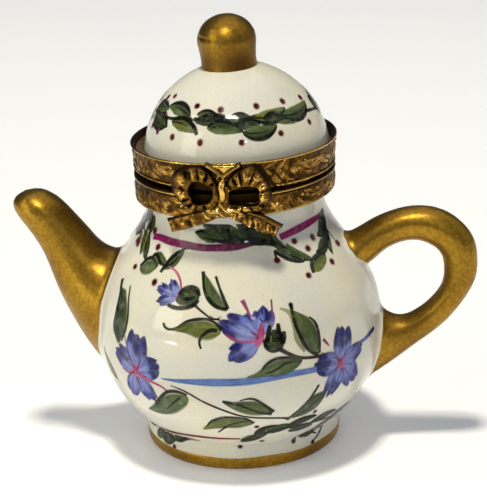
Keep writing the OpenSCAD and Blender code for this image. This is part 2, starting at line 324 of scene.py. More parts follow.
IVORY, IVORY_WARM, IVORY_GREY = srgb(233, 229, 211), srgb(235, 227, 199), srgb(220, 218, 208)
GLAZE_GRAIN, GLAZE_SPECK = srgb(206, 196, 170), srgb(150, 132, 104)
BARE_PALE, BARE_STAINED = srgb(226, 220, 204), srgb(190, 176, 150)
STREAK_SHADE, POOL_SHADE = (0.3, 0.32, 0.36), (0.78, 0.78, 0.66)
GOLD_DEEP, GOLD_PALE = srgb(150, 112, 31), srgb(172, 134, 50)
# Brown of rubbed gold, also laid on the lower knob as painted shade.
GOLD_WORN_AND_SHADE, GOLD_BROWN = srgb(94, 64, 28), srgb(84, 58, 26)
BRASS_TONES = [(0.06, srgb(44, 29, 11)), (0.30, srgb(90, 62, 24)), (0.60, srgb(136, 98, 38)),
               (0.98, srgb(232, 190, 100))]
CEMENT_PALE, CEMENT_DARK = srgb(92, 72, 46), srgb(44, 32, 20)
FLOOR_PALE, FLOOR_SHADE, FLOOR_GLOW = (0.96, 0.96, 0.96), (0.93, 0.93, 0.935), 0.18
GLAZE_ROUGHNESS = 0.07


def glaze_surface(look):
    """Gloss and the faint unevenness of a hand-dipped glaze, shared by glaze and paint."""
    look.set("Roughness", look.span(look.noise(0.7), 0.35, 0.7, GLAZE_ROUGHNESS - 0.02,
                                    GLAZE_ROUGHNESS + 0.04))
    look.bump((look.noise(0.16, detail=1.0), 0.10), (look.noise(1.1, detail=1.0), 0.004))


def glaze_look():
    look = Look("ivory_glaze", IOR=1.5)
    cloud = look.noise(0.09, detail=2.0)
    tone = look.mix(IVORY_WARM, IVORY_GREY, look.span(cloud, 0.35, 0.65))
    tone = look.mix(IVORY, tone, 0.55)
    grain = look.span(look.noise(3.4, detail=3.0), 0.36, 0.70, 0.0, 0.20)
    tone = look.mix(tone, GLAZE_GRAIN, grain)
    specks = look.span(look.noise(1.7, detail=1.0), 0.76, 0.82, 0.0, 0.22)
    look.set("Base Color", look.mix(tone, GLAZE_SPECK, specks))
    glaze_surface(look)
    return look.material


def bisque_look():
    look = Look("bare_porcelain", Roughness=0.8)
    stains = look.span(look.noise(0.6, detail=5.0), 0.4, 0.75)
    look.set("Base Color", look.mix(BARE_PALE, BARE_STAINED, stains))
    look.bump((look.noise(4.0), 0.01))
    return look.material


def paint_look():
    """Brushed enamel over the glaze: its colour and cover come from the strokes."""
    look = Look("enamel_paint", IOR=1.5, Specular_IOR_Level=0.25)
    flow = look.attribute("flow", "Vector")
    streak = look.noise(1.0, flow, (0.45, 4.2, 1.0), detail=2.0)
    pool = look.noise(0.9, flow, detail=1.0)
    tint = look.node("ShaderNodeAttribute", attribute_name="tint")
    colour = look.mix(tint.outputs["Color"], STREAK_SHADE, look.span(streak, 0.44, 0.72, 0.0, 0.7),
                      "MULTIPLY")
    look.set("Base Color", look.mix(colour, POOL_SHADE, look.span(pool, 0.5, 0.8, 0.0, 0.10)))
    look.set("Alpha",
             look.math("MULTIPLY", tint.outputs["Alpha"], look.span(streak, 0.22, 0.5, 0.90, 1.0)))
    glaze_surface(look)
    return look.material


def gold_look():
    """Satin gold over the glaze: finely speckled, browner and duller in rubbed patches and at listed
    places; on the lower knob that darkening is painted shade as well as wear.
    """
    look = Look("burnished_gold", Metallic=1.0)
    patch = look.noise(0.15, detail=4.0)
    speckle = look.noise(2.0, detail=5.0)
    fine = look.noise(4.5, detail=3.0)
    dull_and_shade = look.attribute("dull_and_shade")
    # Random rubbed patches and the listed places of wear; on the lower knob those places are also
    # painted shade.
    worn_and_shaded = look.math("MAXIMUM", look.span(patch, 0.46, 0.74, 0.0, 0.45), dull_and_shade)
    tone = look.mix(GOLD_DEEP, GOLD_PALE, look.span(speckle, 0.34, 0.68))
    tone = look.mix(tone, GOLD_WORN_AND_SHADE, worn_and_shaded)
    look.set("Base Color", look.mix(tone, GOLD_BROWN, look.span(fine, 0.56, 0.78, 0.0, 0.4)))
    rough = look.math("ADD", look.span(patch, 0.3, 0.75, 0.31, 0.44),
                      look.span(fine, 0.4, 0.8, 0.0, 0.12))
    look.set("Roughness", look.math("ADD", rough, look.span(dull_and_shade, 0.2, 1.0, 0.0, 0.16)))
    look.bump((speckle, 0.010), (look.noise(0.35, detail=2.0), 0.06), (fine, 0.006))
    return look.material


def brass_look(name, relief_name=None):
    """Antique brass, dark brown in its hollows and rubbed bright on its ridges."""
    look = Look(name, Metallic=1.0)
    grime = look.noise(0.5, detail=5.0)
    fine = look.noise(5.0, detail=3.0)
    if relief_name:
        level = look.attribute(relief_name)
    else:
        level = look.span(look.noise(0.7, detail=3.0), 0.25, 0.75, 0.35, 0.75)
    # The relief also carries painted shade: the band behind the bow's eyes and the grooves beside its
    # right loop are lowest, so they take the darkest brown.
    worn_and_shaded = look.math("ADD", level, look.math("MULTIPLY", look.math("SUBTRACT", grime, 0.5), 0.5))
    look.set("Base Color", look.ramp(worn_and_shaded, BRASS_TONES))
    look.set("Roughness", look.math("ADD", look.span(worn_and_shaded, 0.1, 0.9, 0.46, 0.18),
                                    look.span(fine, 0.4, 0.75, 0.0, 0.10)))
    look.bump((look.noise(1.5, detail=3.0), 0.10), (fine, 0.012))
    return look.material


def cement_look():
    look = Look("aged_cement", Roughness=0.92)
    grime = look.span(look.noise(0.8, detail=5.0), 0.35, 0.7)
    look.set("Base Color", look.mix(CEMENT_PALE, CEMENT_DARK, grime))
    look.bump((look.noise(3.0, detail=4.0), 0.05))
    return look.material


GLAZE, BISQUE, PAINT, GOLD = glaze_look(), bisque_look(), paint_look(), gold_look()
CHASED, BRASS, CEMENT = brass_look("chased_brass", "relief"), brass_look("plain_brass"), cement_look()


# ---- Outline of the pot ----

def pot_profile(steps=56):
    """Outer outline of the pot as (radius, height), from the foot up to the rim."""
    t = np.linspace(0, 1, steps)
    low = np.stack([WAIST_R + (BELLY_R - WAIST_R) * (1 - (1 - t) ** BELLY_FULLNESS),
                    WAIST_Z + (BELLY_Z - WAIST_Z) * t], -1)
    high = np.stack([BELLY_R - (BELLY_R - NECK_R) * ease(t ** SHOULDER_DELAY),
                     BELLY_Z + (NECK_Z - BELLY_Z) * t], -1)
    foot = spline([[FOOT_R - 0.55, 0.02], [FOOT_R - 0.15, 0.4], [FOOT_R, 1.2], [FOOT_R, 2.4],
                   [FOOT_R - 0.02, WAIST_Z - 0.8]], 5)
    return np.concatenate([foot, low, high[1:]])


POT_LINE = pot_profile()
POT_SIDES = 224


def pot_radius(z):
    return np.interp(z, POT_LINE[:, 1], POT_LINE[:, 0])


def moved_in(line, by):
    """The line moved to its left by a distance."""
    run = np.gradient(line, axis=0)
    run /= np.hypot(run[:, 0], run[:, 1])[:, None]
    return line + by * np.stack([-run[:, 1], run[:, 0]], -1)


def make_pot():
    """The pot from its floor up the inside, over the rim and down to the bare foot ring."""
    belly = POT_LINE[POT_LINE[:, 1] >= WAIST_Z]
    inside = moved_in(belly[::3], WALL)
    inside = inside[inside[:, 1] > FLOOR_Z + 0.6]
    floor = [[0, FLOOR_Z], [4, FLOOR_Z], [8, FLOOR_Z], [WAIST_R - WALL - 1.2, FLOOR_Z + 0.02],
             [WAIST_R - WALL - 0.3, FLOOR_Z + 0.25]]
    rim = [[SETTING_R - WALL, RIM_Z - 0.3], [SETTING_R - WALL + 0.3, RIM_Z],
           [SETTING_R - 0.3, RIM_Z], [SETTING_R, RIM_Z - 0.3], [SETTING_R, CEMENT_Z]]
    under = [[FOOT_INNER_R + 0.5, 0.02], [FOOT_INNER_R, 0.12], [FOOT_INNER_R - 0.4, RECESS_Z],
             [6, RECESS_Z], [0, RECESS_Z]]
    outline = np.concatenate([floor, inside, rim, POT_LINE[::-1], under])
    points, faces = revolved(outline, POT_SIDES)
    reach = np.hypot(points[:, 0], points[:, 1])
    bare = (points[:, 2] < 0.3) & (reach > FOOT_INNER_R - 0.5) & (reach < FOOT_R - 0.1)
    piece("pot_porcelain", points, faces, "pot", [GLAZE, BISQUE],
          face_slots=[int(all(bare[f])) for f in faces], replaces=["porcelain_body"])


def dull_and_shade_at(points, places):
    """How much darker and duller the gold is at each point, from (x, y, z, reach, dullness) places; on
    the knob this is painted shade as well as wear.
    """
    points, dull_and_shade = np.asarray(points, float), 0.0
    for x, y, z, reach, most in places:
        far = np.linalg.norm(points - [x, y, z], axis=-1) / reach
        dull_and_shade = np.maximum(dull_and_shade, most * np.exp(-far ** 2))
    return dull_and_shade


GILDING_LIFT, FOOT_BAND_Z = 0.03, 1.95
FOOT_WEAR = [(11, -9, 0.8, 4, 0.5), (-8, -12, 0.6, 3, 0.35), (-4, 13.5, 1, 4, 0.4)]


def make_foot_gilding():
    """Gilded band laid round the foot, with a brushed upper edge."""
    line = [[r + GILDING_LIFT, z] for r, z in POT_LINE if 0 < z < FOOT_BAND_Z - 0.05]
    line = np.array(line + [[FOOT_R + GILDING_LIFT, FOOT_BAND_Z], [FOOT_R, FOOT_BAND_Z + 0.05]])
    turn = circle(POT_SIDES)
    t = np.linspace(0, 1, len(line))[:, None]
    points = around(line[:, :1], turn, line[:, 1:] + t * brushed_edge(turn, 0.10, 3)).reshape(-1, 3)
    piece("foot_gilding", points, grid_faces(len(line), POT_SIDES, True), "pot",
          [GOLD], {"dull_and_shade": dull_and_shade_at(points, FOOT_WEAR)})


# ---- Spout and handle ----

SECTION_SIDES, STATION_STEPS = 72, 8
SPOUT_FILLET, HANDLE_FILLET = 1.3, 1.4
SPOUT_WEAR = [(-24.5, -3.0, 37.5, 4.0, 0.2), (-19, -2, 29, 3.5, 0.3)]
HANDLE_WEAR = [(25, -2, 17, 4.5, 0.45), (31.5, -1, 23, 3.5, 0.3), (21, -2, 31, 3, 0.35)]
ROOT_LIFT, ROOT_SUNK = 0.012, -0.05
ROOT_STEPS = 6
WALK_STEP, WALK_STEPS = 0.05, 400
SPOUT_NOSE = np.array([-0.25, 0, 0.12])


def loft_rings(stations):
    """Rings of points along a limb, from stations of (upper x, z, lower x, z, half width)."""
    line = softened(spline(stations, STATION_STEPS), STATION_STEPS)
    turn = circle(SECTION_SIDES)
    mid, half = (line[:, :2] + line[:, 2:4]) / 2, (line[:, :2] - line[:, 2:4]) / 2
    return np.stack([mid[:, 0, None] + half[:, 0, None] * np.cos(turn),
                     line[:, 4, None] * np.sin(turn),
                     mid[:, 1, None] + half[:, 1, None] * np.cos(turn)], -1)


def onto_pot(p, lift):
    """The points moved to the pot's outside, at this lift from it."""
    out = pot_radius(p[..., 2]) + lift
    size = np.hypot(p[..., 0], p[..., 1])
    return np.stack([p[..., 0] * out / size, p[..., 1] * out / size, p[..., 2]], -1)


def beyond_pot(p):
    """How far points are outside the pot."""
    return np.hypot(p[..., 0], p[..., 1]) - pot_radius(p[..., 2])


def crossing(rings):
    """Ring number, with its fraction, where each side of the loft leaves the pot."""
    out = beyond_pot(rings)
    found = []
    for j in range(rings.shape[1]):
        i = int(np.argmax(out[:, j] > 0))
        found.append(i - out[i, j] / (out[i, j] - out[i - 1, j]))
    return np.array(found)


def at_rings(rings, u):
    """Points of the loft at one ring number for each side."""
    i = np.clip(np.floor(u).astype(int), 0, len(rings) - 2)
    f = (u - i)[:, None]
    j = np.arange(rings.shape[1])
    return rings[i, j] * (1 - f) + rings[i + 1, j] * f


def root_rows(rings, fillet, gold_upper, gold_lower, seed):
    """Rows of points that carry the pot's surface up into the loft, the row where the gilding
    starts, and the ring number of each side where the plain loft takes over. The gilding
    starts at these shares of the fillet on the upper and the lower side."""
    sides = rings.shape[1]
    u = crossing(rings)
    x = at_rings(rings, u)
    centre = x.mean(0)
    away = x - centre
    normal = np.stack([x[:, 0], x[:, 1], np.zeros(sides)], -1)
    slope = (pot_radius(x[:, 2] + 0.1) - pot_radius(x[:, 2] - 0.1)) / 0.2
    normal /= np.hypot(normal[:, 0], normal[:, 1])[:, None]
    normal[:, 2] = -slope
    normal /= np.linalg.norm(normal, axis=1)[:, None]
    away -= (away * normal).sum(1)[:, None] * normal
    away /= np.linalg.norm(away, axis=1)[:, None]
    u1 = u.copy()
    last = x
    run = np.zeros(sides)
    for _ in range(WALK_STEPS):
        u1 = np.where(run < fillet, u1 + WALK_STEP, u1)
        now = at_rings(rings, u1)
        run += np.linalg.norm(now - last, axis=1)
        last = now
    ends = onto_pot(x + away * fillet, ROOT_LIFT)
    rows = [onto_pot(ends + away * 0.9, ROOT_SUNK), onto_pot(ends + away * 0.45, ROOT_LIFT)]
    gold_from = len(rows) + ROOT_STEPS
    turn = circle(sides)
    share = gold_lower + (gold_upper - gold_lower) * (1 + np.cos(turn)) / 2
    share = np.clip(share + brushed_edge(turn, 0.05, seed), 0.02, 0.98)
    levels = [share * k / ROOT_STEPS for k in range(ROOT_STEPS)]
    levels += [share + (1 - share) * k / ROOT_STEPS for k in range(ROOT_STEPS)]
    for t in levels:
        t = t[:, None]
        p = (1 - t) ** 2 * ends + 2 * t * (1 - t) * x + t ** 2 * last
        low = beyond_pot(p) < ROOT_LIFT
        rows.append(np.where(low[:, None], onto_pot(p, ROOT_LIFT), p))
    return rows, gold_from, u1


def make_spout():
    """The gilded spout, closed over its nose."""
    rings = loft_rings(SPOUT_STATIONS)
    rows, gold_from, u1 = root_rows(rings, SPOUT_FILLET, gold_upper=0.25, gold_lower=0.9, seed=5)
    last = len(rings) - 1
    for t in np.linspace(0, 1, 64):
        rows.append(at_rings(rings, u1 + (last - u1) * t))
    tip = rings[-1].mean(0)
    for k in (0.75, 0.4):
        rows.append(tip + (rings[-1] - tip) * k + SPOUT_NOSE * (1 - k))
    build_limb("spout_gilding", rows, gold_from, len(rows), SPOUT_WEAR, "spout",
               tip + [-0.22, 0, 0.12])


def make_handle():
    """The gilded handle, with a root on the belly at both ends."""
    rings = loft_rings(HANDLE_STATIONS)
    upper, gold_from, u1 = root_rows(rings, HANDLE_FILLET, gold_upper=0.45, gold_lower=0.8,
                                     seed=7)
    lower, gold_to, u2 = root_rows(rings[::-1], HANDLE_FILLET, gold_upper=0.5, gold_lower=0.65,
                                   seed=8)
    u2 = len(rings) - 1 - u2
    middle = [at_rings(rings, u1 + (u2 - u1) * t) for t in np.linspace(0, 1, 120)]
    rows = upper + middle + lower[::-1]
    build_limb("handle_gilding", rows, gold_from, len(rows) - 1 - gold_to, HANDLE_WEAR, "handle")


def build_limb(name, rows, gold_from, gold_to, wear, node, tip=None):
    """One piece from rows of points round a spout or handle, gilded between two rows and
    closed by a tip, if it has one."""
    rows = np.array(rows)
    n, sides = rows.shape[:2]
    faces = grid_faces(n, sides, True)
    points = rows.reshape(-1, 3)
    slots = [int(gold_from <= i < gold_to) for i in range(n - 1) for _ in range(sides)]
    if tip is not None:
        points = np.concatenate([points, [tip]])
        centre, ring = len(points) - 1, (n - 1) * sides
        faces += [[ring + j, ring + (j + 1) % sides, centre] for j in range(sides)]
        slots += [1] * sides
    piece(name, points, faces, "pot", [GLAZE, GOLD],
          {"dull_and_shade": dull_and_shade_at(points, wear)}, face_slots=slots, replaces=[node])


# ---- Lid ----

def dome_profile(steps=48):
    rise = np.linspace(0, math.pi / 2, steps)
    top = np.stack([DOME_R * np.cos(rise), DOME_Z + DOME_R * np.sin(rise)], -1)
    return np.concatenate([[[DOME_R, DOME_RIM_Z]], top])


DOME_LINE = dome_profile()


def make_dome():
    """The hollow dome, from the middle of its inside round the rim to the top."""
    inner_r = DOME_R - WALL
    rise = np.linspace(math.pi / 2, 0, 24)
    inside = np.stack([inner_r * np.cos(rise), DOME_Z + inner_r * np.sin(rise)], -1)
    inside[0, 0] = 0
    rim = [[inner_r, DOME_RIM_Z + 0.3], [inner_r + 0.3, DOME_RIM_Z], [DOME_R - 0.3, DOME_RIM_Z],
           [DOME_R, DOME_RIM_Z + 0.3]]
    outside = DOME_LINE[1:].copy()
    outside[-1, 0] = 0
    points, faces = revolved(np.concatenate([inside, rim, outside]), 208, DOME_X)
    piece("lid_porcelain", points, faces, "lid", [GLAZE], replaces=["lid_dome"])


KNOB_OUTLINE = [[0.97, -0.16], [0.95, -0.08], [0.94, 0.06], [0.95, 0.2], [0.985, 0.36], [1, 0.5],
                [0.93, 0.66], [0.74, 0.83], [0.43, 0.95], [0.15, 0.995], [0, 1]]
KNOB_NICK = [(-4.36, -0.7, 60.55), (-3.98, -1.75, 60.5), (-3.35, -2.75, 60.6),
             (-2.5, -3.5, 60.4)]
# Places on the lower knob painted darker and duller, as shade and as wear.
KNOB_WEAR_AND_SHADE = [(1.5, -3.5, 56.9, 3.6, 1.0), (-2.5, -2.5, 56.9, 3.0, 0.85), (3.8, -1.5, 59.4, 3, 0.7),
             (0, 3.5, 57.5, 3.2, 0.6)]


def make_knob():
    """Egg-shaped knob on a short neck that flares onto the dome."""
    h = KNOB_TOP_Z - DOME_Z - DOME_R
    line = softened(spline(KNOB_OUTLINE, 7), 3) * [KNOB_R, h]
    line[-1, 0] = 0
    points, faces = revolved(line, 144)
    lean = math.radians(KNOB_LEAN)
    turned = points.copy()
    turned[:, 0] = points[:, 0] * math.cos(lean) - points[:, 2] * math.sin(lean)
    turned[:, 2] = points[:, 0] * math.sin(lean) + points[:, 2] * math.cos(lean)
    turned += [-KNOB_X, 0, DOME_Z + DOME_R]
    turned[:, 2] = np.minimum(turned[:, 2], KNOB_TOP_Z)
    scratch = evenly(spline(KNOB_NICK, 8), 0.1)
    near = np.linalg.norm(turned[:, None] - scratch[None], axis=2).min(1)
    nick = np.exp(-(near / 0.2) ** 2)
    inward = np.array([-KNOB_X, 0, DOME_Z + DOME_R + h / 2]) - turned
    turned += inward / np.linalg.norm(inward, axis=1)[:, None] * nick[:, None] * 0.14
    # The lower knob is painted darker as shade as well as wear; the dented line is darkened with it.
    dull_and_shade = np.maximum(dull_and_shade_at(turned, KNOB_WEAR_AND_SHADE), nick)
    piece("knob_gilding", turned, faces, "lid", [GOLD], {"dull_and_shade": dull_and_shade},
          replaces=["knob"])


# ---- Chased bezels ----

BAND_R, BAND_COLUMNS, CHASING_DEPTH = 14.6, 880, 0.30
BOW_EYES = [(-4.9, -1.0), (0.8, 5.0)]


class Chasing:
    """Relief over an unrolled band, as heights from 0 in the hollows to 1 on the ridges."""

    def __init__(self, round_mm, tall, cols, rows, seed):
        self.length = round_mm
        self.u, self.v = np.meshgrid(np.arange(cols) * round_mm / cols,
                                     np.linspace(0, tall, rows))
        turn = self.u / self.length * 2 * math.pi
        self.x, self.front = BAND_R * np.sin(turn), np.cos(turn) > 0
        self.rng = random.Random(seed)
        coarse = lattice_noise(self.u, self.v, 0.9, seed, round_mm)
        fine = lattice_noise(self.u, self.v, 0.32, seed + 1, round_mm)
        self.height = 0.26 + 0.14 * coarse + 0.14 * fine

    def along(self, u):
        """Distance along the band from u, the short way round."""
        return (self.u - u + self.length / 2) % self.length - self.length / 2

    def raise_to(self, height):
        self.height = np.maximum(self.height, height)

    def leaf(self, u, v, length, width, degrees, height):
        """One pointed leaf with a sunk middle vein and slanting side veins."""
        du, dv = self.along(u), self.v - v
        c, s = math.cos(math.radians(degrees)), math.sin(math.radians(degrees))
        along, across = (du * c + dv * s) / length, (dv * c - du * s)
        half = width / 2 * np.sin(np.pi * np.clip(along, 0, 1) ** 0.8) + 1e-6
        across = across / half + 0.25 * np.sin(np.pi * along)
        inside = (along > 0) & (along < 1) & (np.abs(across) < 1)
        crown = np.sqrt(np.clip(1 - across ** 2, 0, 1))
        vein = 0.35 * np.exp(-(across / 0.16) ** 2)
        ribs = 0.10 * np.cos(2 * np.pi * (along * 4.5 + np.abs(across) * 0.8))
        shape = height * crown ** 0.6 * (1 - vein + ribs) * (0.75 + 0.25 * along)
        self.height = np.where(inside, np.maximum(self.height, shape), self.height)

    def edge(self, v, width, height):
        """Rolled border along the band."""
        self.raise_to(height * np.sqrt(np.clip(1 - ((self.v - v) / width) ** 2, 0, 1)))

    def groove(self, v, width, depth):
        self.height -= depth * np.exp(-((self.v - v) / width) ** 2)

    def foliage(self, low, high, spacing, lean):
        """Overlapping feathery leaves that lean one way, with a few that cross them."""
        count = int(self.length / spacing)
        for k in range(count):
            u = (k + self.rng.uniform(-0.3, 0.3)) * spacing
            v = low + (high - low) * self.rng.uniform(-0.1, 0.85)
            turn = lean + self.rng.uniform(-18, 18) + 30 * math.sin(u * 0.55)
            if self.rng.random() < 0.22:
                turn = -turn
            self.leaf(u, v, (high - low) * self.rng.uniform(0.35, 0.8),
                      self.rng.uniform(0.4, 0.8), turn, self.rng.uniform(0.55, 0.98))

    def cut(self, places, width, depth):
        """A groove along a line of (x at the front, height above the band's foot), sunk and painted
        dark as a shadow line.
        """
        line = evenly(spline(places, 8), 0.1)
        near = np.min([(self.x - a) ** 2 + (self.v - b) ** 2 for a, b in line], axis=0)
        self.height -= depth * np.exp(-near / width ** 2) * self.front

    def berries(self, v, spread, spacing):
        """Small beads scattered over the band."""
        for k in range(int(self.length / spacing)):
            u, w = (k + self.rng.uniform(-0.4, 0.4)) * spacing, v + self.rng.uniform(-1, 1) * spread
            far = (self.along(u) ** 2 + (self.v - w) ** 2) / self.rng.uniform(0.2, 0.3) ** 2
            self.raise_to(np.sqrt(np.clip(1 - far, 0, 1)))

    def shaded_hollow(self, left, right, low, high):
        """A hollow between two x positions at the front and two heights, sunk and painted dark brown as
        shade.
        """
        inside = ease((self.x - left) / 0.3) * ease((right - self.x) / 0.3) * self.front
        inside = inside * ease((self.v - low) / 0.25 + 1) * ease((high - self.v) / 0.25 + 1)
        self.height = self.height * (1 - inside) - 0.1 * inside


def make_band(name, face, rest, chasing, body, node, drop, plain_level):
    """A bezel: its chased outer face, then the plain rest of its section, which is as rubbed as
    plain_level says. drop is how far its lower and upper edges hang lower on the spout's side."""
    rows, cols = chasing.height.shape
    face, rest = np.array(face, float), np.array(rest, float)
    z = np.linspace(face[0, 1], face[-1, 1], rows)
    base = np.interp(z, face[:, 1], face[:, 0])
    turn = circle(cols)
    height = np.clip(chasing.height, 0, 1.05)
    r = base[:, None] - CHASING_DEPTH * (1 - height)
    r[0], r[-1] = face[0, 0] - 0.12, face[-1, 0] - 0.1
    r = np.concatenate([r, np.broadcast_to(rest[:, 0, None], (len(rest), cols))])
    z = np.concatenate([z, rest[:, 1]])
    share = np.clip((z - face[0, 1]) / (face[-1, 1] - face[0, 1]), 0, 1)[:, None]
    side = -np.sin(turn)
    hang = np.where(side > 0, side, 0.35 * side)[None, :] * (drop[0] * (1 - share)
                                                             + drop[1] * share)
    points = around(r, turn, z[:, None] - hang).reshape(-1, 3)
    relief = np.concatenate([height, np.full((len(rest), cols), plain_level)]).ravel()
    brass_piece(name, points, grid_faces(len(z), cols, True, True), relief, body, node, 50)


def make_bezels():
    """Both bezels, with foliage round them, hollows sunk and painted dark as the shade seen through the
    bow's eyes, and grooves painted dark as the bow's shadow.
    """
    lower_tall = LOWER_BAND_TOP_Z - LOWER_BAND_Z
    lower = Chasing(91.0, lower_tall, BAND_COLUMNS, 40, 11)
    lower.foliage(0.3, lower_tall - 0.6, 0.28, -34)
    lower.berries(1.5, 0.8, 3.1)
    lower.groove(lower_tall - 0.62, 0.07, 0.45)
    lower.edge(lower_tall - 0.38, 0.17, 0.9)
    lower.groove(lower_tall - 0.17, 0.05, 0.3)
    lower.edge(0.15, 0.17, 0.8)
    # Painted shade: the band behind each of the bow's eyes is sunk and made darkest brown.
    for left, right in BOW_EYES:
        lower.shaded_hollow(left, right, 40.3 - LOWER_BAND_Z, 44 - LOWER_BAND_Z)
    make_band("lower_bezel_chased",
              [[14.35, LOWER_BAND_Z], [14.5, 38.6], [14.5, 40.5], [14.5, LOWER_BAND_TOP_Z]],
              [[14.3, LOWER_BAND_TOP_Z], [12.2, LOWER_BAND_TOP_Z], [12.1, 41.7], [12.1, 42.25],
               [12.0, 42.35], [11.6, 42.35], [11.5, 42.25], [11.5, 40.8], [13.6, 40.8],
               [13.6, CEMENT_Z], [13.0, CEMENT_Z], [13.0, LOWER_BAND_Z], [14.1, LOWER_BAND_Z]],
              lower, "pot", "lower_bezel", drop=(0.75, 0.28), plain_level=0.12)
    upper_tall = UPPER_BAND_TOP_Z - UPPER_BAND_Z
    upper = Chasing(92.0, upper_tall, BAND_COLUMNS, 48, 23)
    upper.foliage(0.5, upper_tall - 0.3, 0.24, -30)
    upper.berries(2.2, 1.1, 2.7)
    upper.groove(0.52, 0.07, 0.45)
    upper.edge(0.3, 0.16, 0.9)
    upper.groove(0.1, 0.05, 0.3)
    upper.edge(upper_tall - 0.16, 0.18, 0.95)
    # Painted shade: the band behind each of the bow's eyes is sunk and made darkest brown.
    for left, right in BOW_EYES:
        upper.shaded_hollow(left, right, -2.0, 43.6 - UPPER_BAND_Z)
    # Painted shadow of the bow's right loop on the band, as two dark grooves.
    upper.cut([[5.0, 3.3], [6.1, 1.7], [7.2, 0.2]], 0.22, 0.9)
    upper.cut([[6.9, 2.6], [7.9, 1.2], [8.6, 0.3]], 0.12, 0.5)
    make_band("upper_bezel_chased",
              [[14.5, UPPER_BAND_Z], [14.55, 43.4], [14.7, 45.2], [14.8, 45.8],
               [14.75, UPPER_BAND_TOP_Z]],
              [[14.55, UPPER_BAND_TOP_Z], [14.35, 45.95], [14.15, 45.4], [14.0, 44.7],
               [14.0, 42.75], [12.5, 42.75], [12.4, 42.7], [12.4, 42.05], [12.5, UPPER_BAND_Z],
               [14.3, UPPER_BAND_Z]],
              upper, "lid", "upper_bezel", drop=(-0.12, 0.4), plain_level=0.1)


# ---- Bow clasp ----

BACK_SUNK = 0.02


def wrap(x, z, r):
    """Points at radius r round the pot's axis that lie straight behind (x, z)."""
    x, z, r = np.broadcast_arrays(x, z, r)
    return np.stack([x, -np.sqrt(r ** 2 - x ** 2), z], -1)


def crowned(t, power):
    """Rounded hump over 0..1 that falls steeply at both ends, the more so the higher power."""
    return np.clip(1 - np.abs(2 * t - 1) ** power, 0, 1) ** 0.5


LOOP_THICKNESS, LOOP_COUNT, LOOP_ROWS = 0.98, 240, 22
CREASE_DEGREES, WIDEST_SHELL, HATCH_LINES = 3.2, 75, 46


def make_loop(eye, rim, pleats, hatch, seed):
    """A loop of ribbon round its eye, pleated at the given angles and finely hatched
    between the two hatch angles."""
    count, rows, turn = LOOP_COUNT, LOOP_ROWS, circle(LOOP_COUNT)
    centre = np.mean(eye, axis=0)
    outlines = []
    for points in (eye, rim):
        line = spline(points, 24, closed=True)
        angle = np.unwrap(np.arctan2(line[:, 1] - centre[1], line[:, 0] - centre[0]))
        if angle[-1] < angle[0]:
            line, angle = line[::-1], angle[::-1]
        base = np.concatenate([angle - 2 * math.pi, angle, angle + 2 * math.pi])
        outlines.append(np.stack([np.interp(turn, base, np.tile(line[:, k], 3))
                                  for k in (0, 1)], -1))
    want = np.degrees(turn)
    t = np.linspace(0, 1, rows)
    flat = outlines[0][None] * (1 - t)[:, None, None] + outlines[1][None] * t[:, None, None]
    marks = np.array(sorted(pleats), float)
    gap = (want[:, None] - marks[None, :] + 180) % 360 - 180
    nearest = np.abs(gap).min(1)
    before = np.where(gap < 0, gap + 360, gap).min(1)
    crease = np.exp(-(nearest / CREASE_DEGREES) ** 2)
    after = np.where(gap >= 0, gap - 360, gap).max(1)
    part = before / (before - after)
    shell = np.where(before - after < WIDEST_SHELL,
                     np.sin(np.clip(part, 0, 1) * math.pi) ** 0.6, 0.5)
    owner = np.argmin(np.where(gap < 0, gap + 360, gap), axis=1)
    tilt = np.random.default_rng(seed).uniform(-1, 1, (len(marks), 2))[owner]
    facet = softened(tilt[:, 0] * 0.5 + tilt[:, 1] * (part - 0.5), 3, closed=True)
    fine = 0.5 + 0.5 * np.cos(np.radians(want) * HATCH_LINES)
    in_hatch = ease((want - hatch[0] + 360) % 360 / 8) * ease((hatch[1] - want + 360) % 360 / 8)
    in_hatch *= ((want - hatch[0]) % 360) < ((hatch[1] - hatch[0]) % 360)
    body = crowned(t, 4.0)[:, None]
    roll = np.exp(-((t - 0.16) / 0.09) ** 2)[:, None]
    middle = np.sin(np.pi * np.clip((t - 0.12) / 0.88, 0, 1))[:, None]
    height = body * (0.62 + 0.10 * shell[None, :] + 0.14 * roll) \
        + 0.10 * shell[None, :] * middle - 0.20 * crease[None, :] * middle \
        + 0.16 * facet[None, :] * middle + 0.16 * (fine * in_hatch)[None, :] * middle
    uneven = lattice_noise(flat[..., 0] + 20, flat[..., 1], 0.8, seed)
    uneven += 0.8 * lattice_noise(flat[..., 0] + 20, flat[..., 1], 0.34, seed + 1)
    height = np.clip(height + 0.20 * uneven * middle, 0, 1.05) * (body > 0)
    front = wrap(flat[..., 0], flat[..., 1], BOW_BACK_R + LOOP_THICKNESS * height)
    back = wrap(flat[::-6, :, 0], flat[::-6, :, 1], BOW_BACK_R - BACK_SUNK)[1:-1]
    points = np.concatenate([front, back])
    relief = np.concatenate([np.clip((height - 0.40) / 0.62, 0, 1) ** 1.5,
                             np.zeros(back.shape[:2])])
    return [points.reshape(-1, 3), grid_faces(len(points), count, True, True),
            relief.ravel()]


